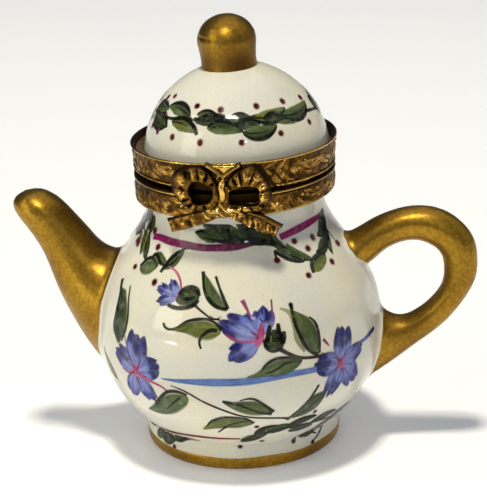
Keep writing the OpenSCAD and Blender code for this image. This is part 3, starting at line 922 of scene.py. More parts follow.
def make_strip(line, half_width, base_r, thickness, ribs=0.0, rib_pitch=0.8, wire=0.0,
               notch=0.0, seed=1, rough=0.0, level=0.0, crown=5.0, rise=0.0):
    """A flat ribbon along a line of (x, z): crowned or with a wire along its edges, ribbed
    across, its far end notched like a swallow's tail. Relief below level is grimy; rise is how
    far its end curls outward."""
    line = evenly(spline(line, 12), 0.09)
    run = np.gradient(line, axis=0)
    size = np.hypot(run[:, 0], run[:, 1])
    side = np.stack([-run[:, 1], run[:, 0]], -1) / size[:, None]
    t = np.linspace(0, 1, len(line))
    across = np.linspace(-1, 1, 17)
    half = np.interp(t, np.linspace(0, 1, len(half_width)), half_width)
    length = np.concatenate([[0], np.cumsum(size)])[:-1]
    cut = notch * (1 - np.abs(across)) * np.clip((t - 0.6) / 0.4, 0, 1)[:, None] ** 2
    unit = run / size[:, None]
    flat = line[:, None] + side[:, None] * (half[:, None] * across)[..., None] \
        - unit[:, None] * cut[..., None]
    edge = (across + 1) / 2
    body = crowned(edge, crown)[None, :]
    body = body * crowned(0.5 + 0.5 * np.clip(2 * t - 1, 0, 1), 16.0)[:, None]
    drift = 0.35 * lattice_noise(length + 7 * seed, length * 0, 1.1, seed)[:, None]
    wave = 0.5 + 0.5 * np.cos(2 * np.pi * (length[:, None] + drift + 0.4 * across) / rib_pitch)
    wires = np.exp(-((np.abs(across) - 0.8) / 0.13) ** 2)[None, :]
    wires = np.maximum(wires, np.exp(-((length[-1] - length[:, None] - 0.22) / 0.13) ** 2))
    inner = np.clip(1 - np.abs(across) / 0.75, 0, 1)[None, :] ** 0.4
    height = body * (0.75 - 0.25 * wire + ribs * wave * inner + wire * 0.5 * wires)
    grain = lattice_noise(flat[..., 0] + 30, flat[..., 1], 0.4, seed + 2)
    height = np.clip(height * (1 + rough * grain), 0, 1.1)
    root = base_r + rise * ease((t[:, None] - 0.3) / 0.7)
    front = wrap(flat[..., 0], flat[..., 1], root + thickness * height)
    back = wrap(flat[:, ::-4, 0], flat[:, ::-4, 1], root - BACK_SUNK)[:, 1:-1]
    points = np.concatenate([front, back], axis=1)
    rows, cols = points.shape[:2]
    shine = np.clip((height - level) / (1 - level), 0, 1) ** 1.2
    relief = np.concatenate([shine, np.zeros(back.shape[:2])], axis=1)
    faces = grid_faces(rows, cols, True)
    faces += [list(range(cols))[::-1], list(range((rows - 1) * cols, rows * cols))]
    return [points.reshape(-1, 3), faces, relief.ravel()]


def make_boss(outline, base_r, front_r, ribs=0.0):
    """A rounded boss over a closed outline, its top partly flat and folded by ribs."""
    line = spline(outline, 12, closed=True)
    centre = line.mean(0)
    t = np.linspace(0, 1, 12)
    flat = centre + (line - centre)[None] * (1 - t[:, None, None])
    flat_top = 0.35
    height = np.sqrt(np.clip(1 - (1 - t) ** 2.4, 0, 1)) * (1 - flat_top) + flat_top * ease(t * 5)
    folds = np.cos(flat[..., 1] * 5.0 + flat[..., 0] * 2.2 + np.sin(flat[..., 0] * 2.6) * 1.5)
    height = height[:, None] * (1 + ribs * (folds - 1))
    points = wrap(flat[..., 0], flat[..., 1], base_r + (front_r - base_r) * np.clip(height, 0, 1))
    rows, cols = points.shape[:2]
    faces = grid_faces(rows, cols, True) + [list(range(cols))]
    return [points.reshape(-1, 3), faces, np.clip(height, 0, 1).ravel()]


def make_bow():
    """The bow: two loops round their eyes, tails, folds above the knot and a heart below it."""
    left_eye = [[-1.4, 42.6], [-2.4, 43.2], [-3.8, 43.3], [-4.45, 42.3], [-4.1, 41.2],
                [-3.8, 40.45], [-2.2, 40.7], [-1.5, 41.5]]
    left_rim = [[-0.35, 42.4], [-0.75, 43.6], [-1.5, 44.8], [-2.6, 45.55], [-3.9, 45.85],
                [-5.5, 45.3], [-6.8, 44.4], [-7.3, 42.9], [-6.8, 41.4], [-5.9, 40.2], [-4.1, 39.4],
                [-1.4, 39.7], [-0.3, 41.0]]
    right_eye = [[1.0, 41.5], [1.2, 42.4], [3.0, 42.55], [4.6, 42.55], [4.8, 41.4], [4.7, 40.3],
                 [2.9, 40.4], [1.15, 40.6]]
    right_rim = [[0.75, 42.2], [0.85, 43.8], [1.8, 45.0], [3.5, 45.85], [4.7, 45.85],
                 [5.55, 44.4], [6.45, 42.6], [6.6, 41.1], [6.1, 40.1], [4.9, 39.2], [2.4, 39.3],
                 [0.75, 40.2]]
    pieces = {
        "bow_loop_left": make_loop(left_eye, left_rim, [40, 70, 96, 128, 170, 205, 228, 250, 285,
                                                        318], hatch=(300, 305), seed=3),
        "bow_loop_right": make_loop(right_eye, right_rim, [14, 40, 64, 96, 118, 142, 160, 236, 262,
                                                           300, 330], hatch=(338, 120), seed=4),
        "bow_tail_left": make_strip([[0.2, 40.4], [-0.9, 39.3], [-2.6, 38.5], [-4.5, 37.8],
                                     [-7.9, 36.5]], [0.7, 0.9, 1.0, 1.05, 1.0], 14.55,
                                    0.65, ribs=0.22, rib_pitch=1.7, wire=0.6, notch=0.05,
                                    rough=0.36, level=0.32),
        "bow_tail_right": make_strip([[0.3, 40.4], [1.2, 39.4], [3.0, 38.35], [5.0, 37.5],
                                      [7.4, 36.2]], [0.7, 0.85, 0.9, 0.95, 0.85], BOW_BACK_R,
                                     0.80, ribs=0.24, rib_pitch=0.7, wire=0.6, notch=0.05,
                                     seed=2, rough=0.40, level=0.32, rise=0.8),
        "bow_tail_roll": make_strip([[3.4, 39.3], [4.9, 38.65], [6.4, 37.75], [7.95, 36.75]],
                                    [0.2, 0.27, 0.3, 0.3], BOW_BACK_R + 0.1, 1.05, crown=2.0,
                                    rise=0.6),
        "bow_fold_left": make_strip([[0.45, 44.3], [-0.3, 44.9], [-1.2, 45.5], [-2.25, 46.05]],
                                    [0.36, 0.38, 0.38, 0.36], BOW_BACK_R - 0.2, 1.4, crown=2.0),
        "bow_fold_right": make_strip([[0.15, 44.3], [0.9, 44.9], [1.75, 45.5], [2.7, 46.05]],
                                     [0.36, 0.36, 0.36, 0.34], BOW_BACK_R - 0.2, 1.35, crown=2.0),
        "bow_crown": make_boss([[-1.9, 45.9], [-0.9, 45.3], [0.3, 44.5], [1.6, 45.3],
                                [2.5, 45.9], [1.2, 45.98], [-0.4, 46.0]], 14.7, 15.3),
        "bow_knot": make_boss([[-0.4, 42.0], [-0.55, 43.1], [-0.3, 44.0], [0.3, 44.5], [0.6, 44.0],
                               [0.45, 43.2], [0.6, 42.2], [0.55, 41.2], [0.1, 40.6],
                               [-0.35, 41.0]], BOW_BACK_R, 16.0, ribs=0.02),
        "bow_heart": make_boss([[-2.8, 39.7], [-1.3, 40.3], [-0.4, 40.9], [0.5, 40.9],
                                [1.4, 40.2], [3.0, 39.6], [1.9, 38.6], [0.9, 38.9], [0.1, 38.5],
                                [-1.0, 38.8], [-2.2, 38.5]], BOW_BACK_R, 15.9, ribs=0.18),
    }
    for name, (points, faces, relief) in pieces.items():
        brass_piece(name, points, faces, relief, "lid", "clasp_bow", 60)


# ---- Painted decoration ----

class Skin:
    """A glazed surface of revolution, addressed by degrees round it and height."""

    def __init__(self, line, axis_x=0.0):
        self.r, self.z = np.array(line, float).T
        self.s = np.concatenate([[0], np.cumsum(np.hypot(np.diff(self.r), np.diff(self.z)))])
        dr, dz = np.gradient(self.r, self.s), np.gradient(self.z, self.s)
        self.nr, self.nz = dz, -dr
        self.axis_x = axis_x

    def chart(self, places):
        """(degrees, height) to (radians, millimetres up the outline)."""
        a, z = np.atleast_2d(np.array(places, float)).T
        return np.stack([np.radians(a), np.interp(z, self.z, self.s)], -1)

    def radius(self, s):
        return np.interp(s, self.s, self.r)

    def points(self, a, s, lift):
        r = self.radius(s) + lift * np.interp(s, self.s, self.nr)
        z = np.interp(s, self.s, self.z) + lift * np.interp(s, self.s, self.nz)
        return around(r, a, z, self.axis_x)


GREENS = {"olive": (srgb(116, 124, 50), srgb(62, 72, 22)),
          "mid": (srgb(90, 108, 54), srgb(36, 52, 22)),
          "deep": (srgb(70, 88, 46), srgb(26, 40, 20)),
          "dark": (srgb(54, 68, 38), srgb(18, 26, 12))}
LEAF_LINE = srgb(17, 19, 9)
STEM = srgb(40, 25, 15)
BERRY, BERRY_EDGE = srgb(78, 2, 14), srgb(134, 24, 54)
RUST_BERRY = srgb(84, 16, 18)
MAGENTA, MAGENTA_DARK = srgb(150, 26, 100), srgb(92, 8, 58)
PINK, PINK_DEEP = srgb(206, 102, 146), srgb(158, 34, 90)
BLUE_PALE, BLUE_MID, BLUE_DEEP = srgb(140, 152, 212), srgb(80, 90, 178), srgb(10, 12, 98)
VIOLET = srgb(94, 66, 138)
SKY = srgb(92, 126, 196)
RED_LINE = srgb(122, 16, 44)

STROKE_SPREAD, STROKE_SOFT, ENAMEL_COVER = 1.1, 0.22, 0.97
FILM_LIFT, FILM_STEP, FILM_LAYERS = 0.014, 0.0009, 50
POINT_STEP = 0.16


def colour_between(a, b, share):
    share = np.asarray(share)[..., None]
    return np.array(a) * (1 - share) + np.array(b) * share


class Brush:
    """Lays thin films of enamel on a skin and gathers them into one piece."""

    def __init__(self, skin, seed):
        self.skin = skin
        self.rng = random.Random(seed)
        self.points, self.faces, self.tint, self.flow = [], [], [], []
        self.count = self.total = 0

    def lay(self, a, s, colour, cover, along, across):
        """Adds one grid of chart points; row 0 to the last row runs along the stroke."""
        lift = FILM_LIFT + FILM_STEP * (self.count % FILM_LAYERS)
        self.count += 1
        rows, cols = a.shape
        self.points.append(self.skin.points(a, s, lift).reshape(-1, 3))
        self.faces += grid_faces(rows, cols, start=self.total)
        self.total += rows * cols
        colour = np.broadcast_to(colour, (rows, cols, 3))
        cover = np.broadcast_to(np.clip(cover, 0, 1), (rows, cols))
        self.tint.append(np.concatenate([colour, cover[..., None]], -1).reshape(-1, 4))
        seed = np.full((rows, cols), self.rng.uniform(0, 90))
        self.flow.append(np.stack([along, across, seed], -1).reshape(-1, 3))

    def along(self, line):
        """Evenly spaced chart points of a line, with the local radius, unit direction (mm
        right, mm up) and distance run."""
        r = self.skin.radius(line[:, 1]).mean()
        line = evenly(line * [r, 1], POINT_STEP) / [r, 1]
        radius = self.skin.radius(line[:, 1])
        du, dv = np.gradient(line[:, 0]) * radius, np.gradient(line[:, 1])
        size = np.hypot(du, dv)
        return line, radius, np.stack([du / size, dv / size], -1), np.cumsum(size)

    def strip(self, line, radius, run, far, across, colour, cover):
        """Lays a strip whose points are these distances to the left of a line."""
        self.lay(line[:, 0, None] - (run[:, 1] / radius)[:, None] * across,
                 line[:, 1, None] + run[:, 0, None] * across, colour, cover,
                 far[:, None] + 0 * across, across)

    def stroke(self, line, half, colour, cover=ENAMEL_COVER, to_colour=None, cells=6):
        """A brush stroke along chart points. half is its half width, as numbers spread along
        it; it runs from colour to to_colour."""
        line, radius, run, far = self.along(line)
        t = np.linspace(0, 1, len(line))
        width = STROKE_SPREAD * np.interp(t, np.linspace(0, 1, len(half)), half)
        share = np.linspace(-1, 1, cells + 1)[None, :]
        across = share * width[:, None]
        tone = colour if to_colour is None else colour_between(colour, to_colour, t[:, None])
        shade = cover * ease((1.001 - np.abs(share)) / STROKE_SOFT) * np.ones((len(t), 1))
        self.strip(line, radius, run, far, across, tone, shade)

    def local(self, place, points):
        """Chart points from millimetres right and up of a place."""
        a0, s0 = self.skin.chart([place])[0]
        x, y = np.array(points, float).T
        return np.stack([a0 + x / self.skin.radius(s0 + y), s0 + y], -1)

    def line(self, places, half, colour, cover=ENAMEL_COVER, to_colour=None, cells=6):
        """A stroke through (degrees, height) places."""
        self.stroke(spline(self.skin.chart(places), 10), half, colour, cover, to_colour, cells)

    def ink(self, places, half, cover=ENAMEL_COVER):
        """A stroke in the dark colour of the leaves' outlines."""
        self.line(places, half, LEAF_LINE, cover)

    def dot(self, place, size=0.44, colour=BERRY, edge=BERRY_EDGE):
        """A round touch of enamel with a paler edge where it has run."""
        turn = np.linspace(0, 2 * math.pi, 21)
        ring = np.linspace(0, 1, 8)[:, None]
        stretch = self.rng.uniform(0.9, 1.2)
        reach = size * 1.35
        x, y = reach * ring * np.cos(turn), reach * stretch * ring * np.sin(turn)
        flat = self.local(place, np.stack([x.ravel(), y.ravel()], -1)).reshape(*x.shape, 2)
        share = ease((ring - 0.6) / 0.15) + 0 * x
        cover = 1 - 0.6 * share - 0.4 * ease((ring - 0.75) / 0.25)
        self.lay(flat[::-1, :, 0], flat[::-1, :, 1], colour_between(colour, edge, share)[::-1],
                 cover[::-1], x[::-1], 0.2 * y[::-1])

    def bowed(self, base, tip, bend):
        """Chart points along an arc from base to tip."""
        b, t = self.skin.chart([base])[0], self.skin.chart([tip])[0]
        r = self.skin.radius((b[1] + t[1]) / 2)
        run = (t - b) * [r, 1]
        aside = np.array([-run[1], run[0]]) * bend / [r, 1]
        f = np.linspace(0, 1, 24)[:, None]
        return b + (t - b) * f + aside * 4 * f * (1 - f)

    def leaf(self, base, tip, width, bend, tone, side, vein=True, bold=1.0):
        """A leaf: a green body, a dark line down one side and a short vein."""
        light, deep = GREENS[tone]
        line, radius, run, far = self.along(self.bowed(base, tip, bend))
        u = np.linspace(0, 1, len(line))
        half = width / 2 * np.sin(np.pi * u ** 0.85) ** 0.8 + 0.03
        w = np.linspace(-1, 1, 11)[None, :]
        ragged = 1 + 0.07 * lattice_noise(u * 9 + self.rng.uniform(0, 50), u * 0, 1.0, 2)
        across = w * (half * ragged)[:, None]
        share = np.clip(0.42 + 0.5 * w * side + 0.2 * np.sin(u * 3)[:, None], 0, 1)
        cover = ENAMEL_COVER * ease((1.001 - np.abs(w)) / 0.2) * ease(u / 0.06)[:, None]
        self.strip(line, radius, run, far, across, colour_between(light, deep, share), cover)

        def beside(start, end, off):
            """A line beside the leaf's middle, at this share of its half width."""
            f = np.linspace(start, end, 20)
            at, way = (np.stack([np.interp(f, u, k) for k in part.T], -1)
                       for part in (line, run))
            out = off * side * np.interp(f, u, half)
            r = np.interp(f, u, radius)
            return np.stack([at[:, 0] - way[:, 1] * out / r, at[:, 1] + way[:, 0] * out], -1)

        thick = bold * width * self.rng.uniform(0.10, 0.14)
        self.stroke(beside(0.0, 1.0, 0.84),
                    [0.08, thick * 0.7, thick, thick * 1.1, thick * 0.8, 0.1], LEAF_LINE)
        if vein:
            self.stroke(beside(0.04, self.rng.uniform(0.6, 0.8), 0.08),
                        [0.14, 0.13, 0.04], LEAF_LINE, 0.9)

    def wash(self, first, second, tone, lit=0.5):
        """A leaf's body filled in between two lines of (degrees, height) places, lightest at
        this share of the way across."""
        light, deep = GREENS[tone]
        edges = []
        for places in (first, second):
            line = spline(self.skin.chart(places), 10)
            run = np.hypot(np.diff(line[:, 0]) * self.skin.radius(line[1:, 1]),
                           np.diff(line[:, 1]))
            far = np.concatenate([[0], np.cumsum(run)])
            at = np.linspace(0, far[-1], 34)
            edges.append(np.stack([np.interp(at, far, line[:, k]) for k in (0, 1)], -1))
        t, w = np.linspace(0, 1, 34)[:, None], np.linspace(0, 1, 13)[None, :]
        ragged = w + 0.05 * np.sin(w * np.pi) * lattice_noise(t * 30 + self.rng.uniform(0, 60),
                                                              w * 2, 3.0, 2)
        flat = edges[0][:, None] * (1 - ragged)[..., None] + edges[1][:, None] * ragged[..., None]
        wide = np.hypot((edges[1] - edges[0])[:, 0] * self.skin.radius(edges[0][:, 1]),
                        (edges[1] - edges[0])[:, 1])[:, None]
        share = np.clip(np.abs(w - lit) * 1.5 + 0.25 * np.sin(t * 4 + self.rng.uniform(0, 6)), 0, 1)
        soft = ease(w / 0.14) * ease((1 - w) / 0.14) * ease(t / 0.04) * ease((1 - t) / 0.04)
        self.lay(flat[..., 0], flat[..., 1], colour_between(light, deep, share),
                 ENAMEL_COVER * soft, t * far[-1] + 0 * w, wide * w)

    def petal(self, centre, degrees, length, breadth, deep, lobes=3):
        """A petal that widens from the flower's centre to a lobed tip: pale within, violet
        along its sides, with dark dabs of the brush drawn inward from its lobes."""
        rows, cols = 30, 37
        t, w = np.linspace(0.04, 1, rows)[:, None], np.linspace(-1, 1, cols)[None, :]
        shift = self.rng.uniform(-0.12, 0.12)
        lobed = np.abs(np.cos(0.5 * np.pi * lobes * (w + shift))) ** 0.6
        uneven = 0.05 * np.sin(w * 4 + self.rng.uniform(0, 6))
        uneven = uneven + 0.045 * lattice_noise(w + self.rng.uniform(0, 60), 0 * w, 0.3, 7)
        reach = length * (1.02 - 0.16 * np.abs(w) ** 3 - 0.10 * (1 - lobed) + uneven + 0 * t)
        half = breadth / 2 * (0.16 + 0.96 * np.sin(np.pi / 2 * np.clip(t / 0.62, 0, 1)) ** 1.1)
        half = half * (1 - 0.12 * ease((t - 0.76) / 0.24))
        out, aside = t * reach, w * half
        c, s = math.cos(math.radians(degrees)), math.sin(math.radians(degrees))
        flat = self.local(centre, np.stack([(out * c - aside * s).ravel(),
                                            (out * s + aside * c).ravel()], -1))
        flat = flat.reshape(rows, cols, 2)
        streaks = 0.5 + 0.5 * np.cos(w * 9 + self.rng.uniform(0, 6))
        pale = ease((0.78 - t) / 0.35) * (0.55 + 0.45 * streaks) * (1 - 0.6 * np.abs(w) ** 3)
        colour = colour_between(BLUE_MID, BLUE_PALE, pale)
        dark = 0 * t * w
        for k in range(lobes):
            middle = (2 * k - (lobes - 1)) / lobes - shift
            start = self.rng.uniform(0.46, 0.76) - 0.12 * deep
            width = self.rng.uniform(0.26, 0.42) * (0.7 + 0.5 * deep)
            slant = self.rng.uniform(-0.5, 0.5)
            dab = np.exp(-((w - middle - slant * (0.85 - t)) / width) ** 4)
            patch = t - start - 0.14 * lattice_noise(8 * w + 9 * k, 6 * t, 1.6, 11)
            dark = np.maximum(dark, dab * ease(patch / 0.14) * min(1, 0.64 + 0.5 * deep))
        dark = np.maximum(dark, 0.8 * deep * ease((t - 0.9) / 0.08))
        colour = colour_between(colour, BLUE_DEEP, dark)
        colour = colour_between(colour, VIOLET, 0.75 * ease((np.abs(w) - 0.82) / 0.14) * (1 - dark))
        colour = colour_between(colour, PINK, 0.6 * ease((0.26 - t) / 0.2) + 0 * w)
        cover = (0.96 - 0.22 * pale * (1 - streaks)) * ease((1.001 - np.abs(w)) / 0.14)
        cover = cover * ease((1.001 - t) / 0.05)
        self.lay(flat[..., 0], flat[..., 1], colour, cover, out + 0 * w, 0.6 * aside)

    def flower(self, centre, petals):
        """An open flower of blue petals round a pink centre. petals gives each one's direction,
        length, breadth and depth of colour."""
        for degrees, length, breadth, deep in petals:
            self.petal(centre, degrees, length, breadth, deep)
        order = sorted(p[0] for p in petals)
        for a, b in zip(order, order[1:] + [order[0] + 360]):
            lean = math.radians((a + b) / 2 + self.rng.uniform(-6, 6))
            far = self.rng.uniform(1.7, 2.9)
            path = [[f * math.cos(lean + 0.1 * f), f * math.sin(lean + 0.1 * f)]
                    for f in (0.15, far * 0.5, far)]
            self.stroke(self.local(centre, spline(path, 6)), [0.24, 0.15, 0.07], PINK_DEEP, 0.9,
                        VIOLET)
        self.stroke(self.local(centre, [[-0.35, 0.75], [-0.1, 0.2], [0.05, -0.35], [0.1, -0.8]]),
                    [0.3, 0.5, 0.48, 0.3], PINK_DEEP, 0.95, PINK)

    def finish(self, name, body):
        """Makes one piece of all that has been laid."""
        obj = piece(name, np.concatenate(self.points), self.faces, body, [PAINT],
                    {"tint": np.concatenate(self.tint), "flow": np.concatenate(self.flow)},
                    outward=False)
        obj.visible_shadow = False
        return obj


def paint_lid():
    """A garland round the dome: two leaves to each step of its stem, with berries."""
    brush = Brush(Skin(DOME_LINE, DOME_X), 31)

    def at(degrees, rise):
        return [degrees, DOME_Z + DOME_R * math.sin(math.radians(rise))]

    leaf, dot = brush.leaf, brush.dot
    stem = [(-70, 33), (-49, 32.3), (-36, 34.2), (-24, 35), (-8.4, 35.4), (2.6, 34.2), (13.4, 35),
            (22, 36.6), (31, 35.4), (40.5, 34.4), (55, 34.2), (73.6, 32), (93, 30), (118, 32.6),
            (142, 33.8), (166, 31.6), (190, 33.4), (214, 34.2), (238, 32), (262, 33), (280, 31.4),
            (290, 33)]
    front = [((-70, 31.4), (-68, 41.5), 1.8, "dark", 1), ((-73, 31), (-47, 26.4), 2.3, "dark", 1),
             ((-29, 35.6), (-56, 39), 2.2, "mid", -1), ((-44, 30.4), (-21, 26.6), 2.1, "olive", 1),
             ((-23.4, 37.6), (-6, 36.6), 1.5, "mid", 1), ((-24, 33), (8, 31.6), 1.9, "dark", 1),
             ((-13.4, 29.6), (11.4, 27.8), 2.2, "mid", 1), ((2, 35.2), (18, 35.4), 1.6, "deep", 1),
             ((7, 30.8), (24, 31.6), 1.7, "dark", 1), ((11, 28.2), (35.5, 29.8), 2.2, "mid", -1),
             ((20, 36.4), (47.5, 39.6), 2.2, "olive", -1), ((36, 31.6), (61, 28.8), 2.1, "mid", 1),
             ((42.6, 35), (74, 38.6), 2.3, "mid", -1), ((27, 33.8), (44, 33.4), 1.5, "dark", 1),
             ((84, 38.6), (88, 26), 2.2, "deep", 1), ((90, 36), (96, 42), 1.8, "dark", -1)]
    for base, tip, width, tone, side in front:
        leaf(at(*base), at(*tip), width, 0.1 * side, tone, side, bold=1.3, vein=width > 2)
    tones = ["mid", "deep", "olive", "deep"]
    for k, a in enumerate(range(92, 286, 24)):
        rise = 32.5 + 0.8 * math.sin(k * 2.1)
        leaf(at(a, rise + 1), at(a + 22, rise + 5), 2.0, 0.1, tones[k % 4], 1, bold=1.3)
        leaf(at(a + 6, rise - 1), at(a + 28, rise - 4.5), 2.0, -0.1, tones[(k + 1) % 4], -1, bold=1.3)
        dot(at(a + 8, 43 + brush.rng.uniform(-1, 1)))
        dot(at(a + 20, 22.5 + brush.rng.uniform(-1, 1)))
    brush.ink([at(*p) for p in stem],
              [0.2, 0.3, 0.3, 0.4, 0.36, 0.24, 0.32, 0.3, 0.2, 0.26, 0.2, 0.28, 0.2])
    brush.ink([at(-27, 33), at(-23, 30.2), at(-20, 25.6)], [0.2, 0.34, 0.3])
    for place in ((-58, 46), (-26, 43.4), (-5, 42), (24, 43.3), (49, 43.4), (72, 41.5), (-67, 23.7),
                  (-39, 22), (-17, 21.3), (10, 21.6), (37, 24.4), (65, 26)):
        dot(at(*place))
    brush.finish("lid_painting", "lid")


def paint_front(brush):
    """The sprays on the side of the pot that faces the clasp."""
    leaf, line, ink, dot, wash = brush.leaf, brush.line, brush.ink, brush.dot, brush.wash
    # Bud at the upper left, its calyx and stems
    line([[-31, 30.8], [-26, 30.4], [-22, 29.4], [-19.8, 27.8]], [0.14, 0.2, 0.18, 0.12], PINK, 0.9,
         PINK_DEEP)
    for degrees, reach, breadth, deep in ((166, 3.9, 1.7, 0.9), (200, 3.5, 1.5, 0.7),
                                          (128, 2.9, 1.4, 0.6)):
        brush.petal([-21.0, 27.5], degrees, reach, breadth, deep, 2)
    wash([[-22.2, 27.2], [-20.4, 28.3], [-17.0, 28.8], [-12.6, 28.7], [-11.0, 28.0]],
         [[-22.2, 27.0], [-19.6, 26.5], [-15.6, 26.4], [-12.4, 26.7], [-10.9, 27.6]], "dark")
    ink([[-21.4, 27.8], [-19.4, 28.5], [-15.8, 28.8], [-12.6, 28.6], [-11.0, 27.9]],
        [0.16, 0.3, 0.42, 0.4, 0.2])
    ink([[-25.4, 26.4], [-21.6, 26.2], [-17.5, 26.3], [-13.5, 26.7], [-11.2, 27.4]],
        [0.3, 0.34, 0.34, 0.34, 0.24])
    ink([[-19.8, 27.4], [-16.4, 27.4], [-13.2, 27.7]], [0.12, 0.3, 0.2])
    line([[-15.6, 28.2], [-13.4, 28.0]], [0.14, 0.2], GREENS["mid"][0], 0.8)
    line([[-18.6, 28.1], [-16.6, 27.9]], [0.12, 0.16], GREENS["olive"][0], 0.7)
    ink([[-13.8, 27.0], [-7.7, 25.8], [-4.8, 25.3], [-1.4, 25.2]], [0.26, 0.17, 0.15, 0.16])
    line([[-5.6, 25.7], [-3.2, 25.2], [-0.8, 25.6]], [0.07, 0.1, 0.07], STEM, 0.8)
    # Leaves round the bud
    wash([[-10.6, 30.4], [-9.4, 28.2], [-4.3, 26.6], [1.4, 26.1]],
         [[-10.2, 30.6], [-6.6, 29.8], [-1.6, 28.2], [1.9, 26.6]], "mid")
    ink([[-11, 30.8], [-10.2, 29.6], [-8.8, 28.4], [-5.3, 27.2], [-1.6, 26.6], [1.9, 26.5]],
        [0.3, 0.2, 0.2, 0.34, 0.3, 0.24])
    ink([[-4.3, 30.3], [-2.8, 29.4], [-1.0, 28.3], [2.1, 26.5]], [0.2, 0.2, 0.26, 0.22])
    wash([[-23.6, 23.5], [-19.3, 23.8], [-14.6, 24.8], [-7.6, 25.2], [-3.3, 24.7], [-0.4, 24]],
         [[-23.6, 23.3], [-15.5, 23.1], [-9.1, 22.4], [-4.4, 22.5], [-0.7, 23.4]], "olive")
    ink([[-25.6, 24.1], [-24.6, 23.6], [-22.4, 23.4], [-19.3, 23.8], [-14.6, 24.8], [-7.6, 25.2],
         [-3.3, 24.8], [-0.3, 23.9]], [0.24, 0.2, 0.12, 0.2, 0.24, 0.22, 0.2, 0.36])
    ink([[-2.3, 23.8], [-5.0, 23.8], [-7.6, 23.3], [-9.2, 22.5], [-9.2, 21.8], [-8.6, 21.3]],
        [0.3, 0.34, 0.26, 0.22, 0.2, 0.16])
    wash([[-58.2, 26.6], [-54.2, 24.6], [-54.4, 21.8], [-49.6, 19.7]],
         [[-52.2, 26.6], [-46.4, 24.4], [-45.0, 22.2], [-47.4, 19.8]], "deep", lit=0.7)
    ink([[-59.4, 27.4], [-57.6, 26.6], [-55.2, 25.2], [-53.6, 22.9], [-53.0, 21.4], [-49.2, 19.4]],
        [0.44, 0.26, 0.34, 0.5, 0.85, 0.5])
    ink([[-50.6, 27.2], [-47.9, 25.5], [-45.4, 23.7], [-45.4, 21.6], [-47.6, 19.8]],
        [0.16, 0.18, 0.2, 0.24, 0.14])
    ink([[-51.4, 24.6], [-50.4, 22.4], [-50.0, 20.6]], [0.08, 0.16, 0.2], 0.9)
    wash([[-66.5, 16.6], [-62.3, 15.4], [-57.8, 14.4], [-55.0, 13.0]],
         [[-67.0, 16.0], [-64.0, 14.0], [-60.4, 12.9], [-55.2, 12.8]], "olive")
    ink([[-67, 16.6], [-62.3, 15.6], [-57.8, 14.5], [-55.0, 13.0]], [0.1, 0.2, 0.24, 0.14], 0.9)
    # Open flower on the left and the leaf below it
    brush.flower([-39.1, 16.1],
                 [(302, 5.0, 2.9, 0.4), (246, 4.8, 2.7, 0.15), (153, 5.0, 3.3, 0.7),
                  (22, 4.8, 3.4, 1.0), (86, 5.8, 4.1, 0.8)])
    line([[-45.6, 20.8], [-43.8, 19.2], [-41.4, 17.4]], [0.12, 0.15, 0.1], VIOLET, 0.9)
    line([[-48.0, 15.7], [-44.0, 15.4], [-40.0, 15.8]], [0.1, 0.16, 0.16], PINK_DEEP, 0.9)
    line([[-38.5, 15.7], [-30.9, 15.2], [-26.2, 14.8], [-23.4, 14.1]], [0.3, 0.26, 0.2, 0.14], PINK,
         0.95, PINK_DEEP)
    wash([[-38.4, 9.9], [-31.5, 11.8], [-24.2, 13.9], [-17, 14.3], [-14.8, 13.8]],
         [[-38.0, 9.7], [-30, 9.6], [-22.5, 10.4], [-16.2, 12.2], [-14.6, 13.6]], "mid")
    ink([[-31.8, 11.3], [-28.2, 12.8], [-24.2, 14.1], [-19.6, 14.5], [-15.2, 14.2]],
        [0.3, 0.26, 0.26, 0.3, 0.16])
    ink([[-26.4, 11.0], [-22.5, 12.3], [-18.3, 13.6]], [0.1, 0.16, 0.2], 0.95)
    # Stripe across the belly
    line([[-26, 16.1], [-19, 16.2], [-10, 16.4], [8, 16.6], [15, 16.8], [24.5, 17.0], [37, 16.9]],
         [0.1, 0.4, 0.62, 0.6, 0.56, 0.5, 0.46], SKY, 0.9)
    # Large flower seen from the side, with its calyx and stamens
    for degrees, reach, breadth, deep, lobes in ((211, 5.1, 2.9, 1.0, 2), (122, 4.0, 1.7, 0.5, 2),
                                                 (152, 5.8, 3.6, 0.95, 3)):
        brush.petal([14.6, 22.6], degrees, reach, breadth, deep, lobes)
    brush.petal([15.0, 22.9], 78, 4.0, 3.1, 0.6, 2)
    line([[15.0, 25.2], [16.4, 24.7], [18.0, 25.2], [17.6, 26.3], [16.2, 26.2], [16.4, 25.6]],
         [0.1, 0.16, 0.24, 0.2, 0.16, 0.1], BLUE_DEEP, 0.85)
    line([[1.0, 23.3], [5.6, 22.5], [9.5, 22.3], [13.9, 22.3]], [0.16, 0.16, 0.16, 0.2], PINK_DEEP,
         0.92, PINK)
    line([[8.2, 27.5], [9.2, 26.9], [10.4, 26.1], [12.0, 25.0]], [0.34, 0.26, 0.16, 0.1], MAGENTA, 0.95)
    line([[20.9, 27.3], [20.6, 26.2], [20.0, 24.6]], [0.14, 0.14, 0.1], PINK_DEEP, 0.9, VIOLET)
    line([[15.6, 24.6], [15.0, 23.4], [14.4, 22.6], [13.2, 21.6]], [0.16, 0.5, 0.62, 0.3], PINK_DEEP,
         0.92, PINK)
    line([[13.8, 22.6], [12.6, 23.2], [10.8, 23.6]], [0.3, 0.2, 0.1], PINK_DEEP, 0.8, VIOLET)
    wash([[15.8, 22.2], [17.4, 23.4], [20.2, 23.5], [22.6, 23.4], [24.1, 22.8]],
         [[15.8, 21.9], [17.2, 21.0], [20.0, 20.7], [22.4, 21.0], [23.8, 22.2]], "dark")
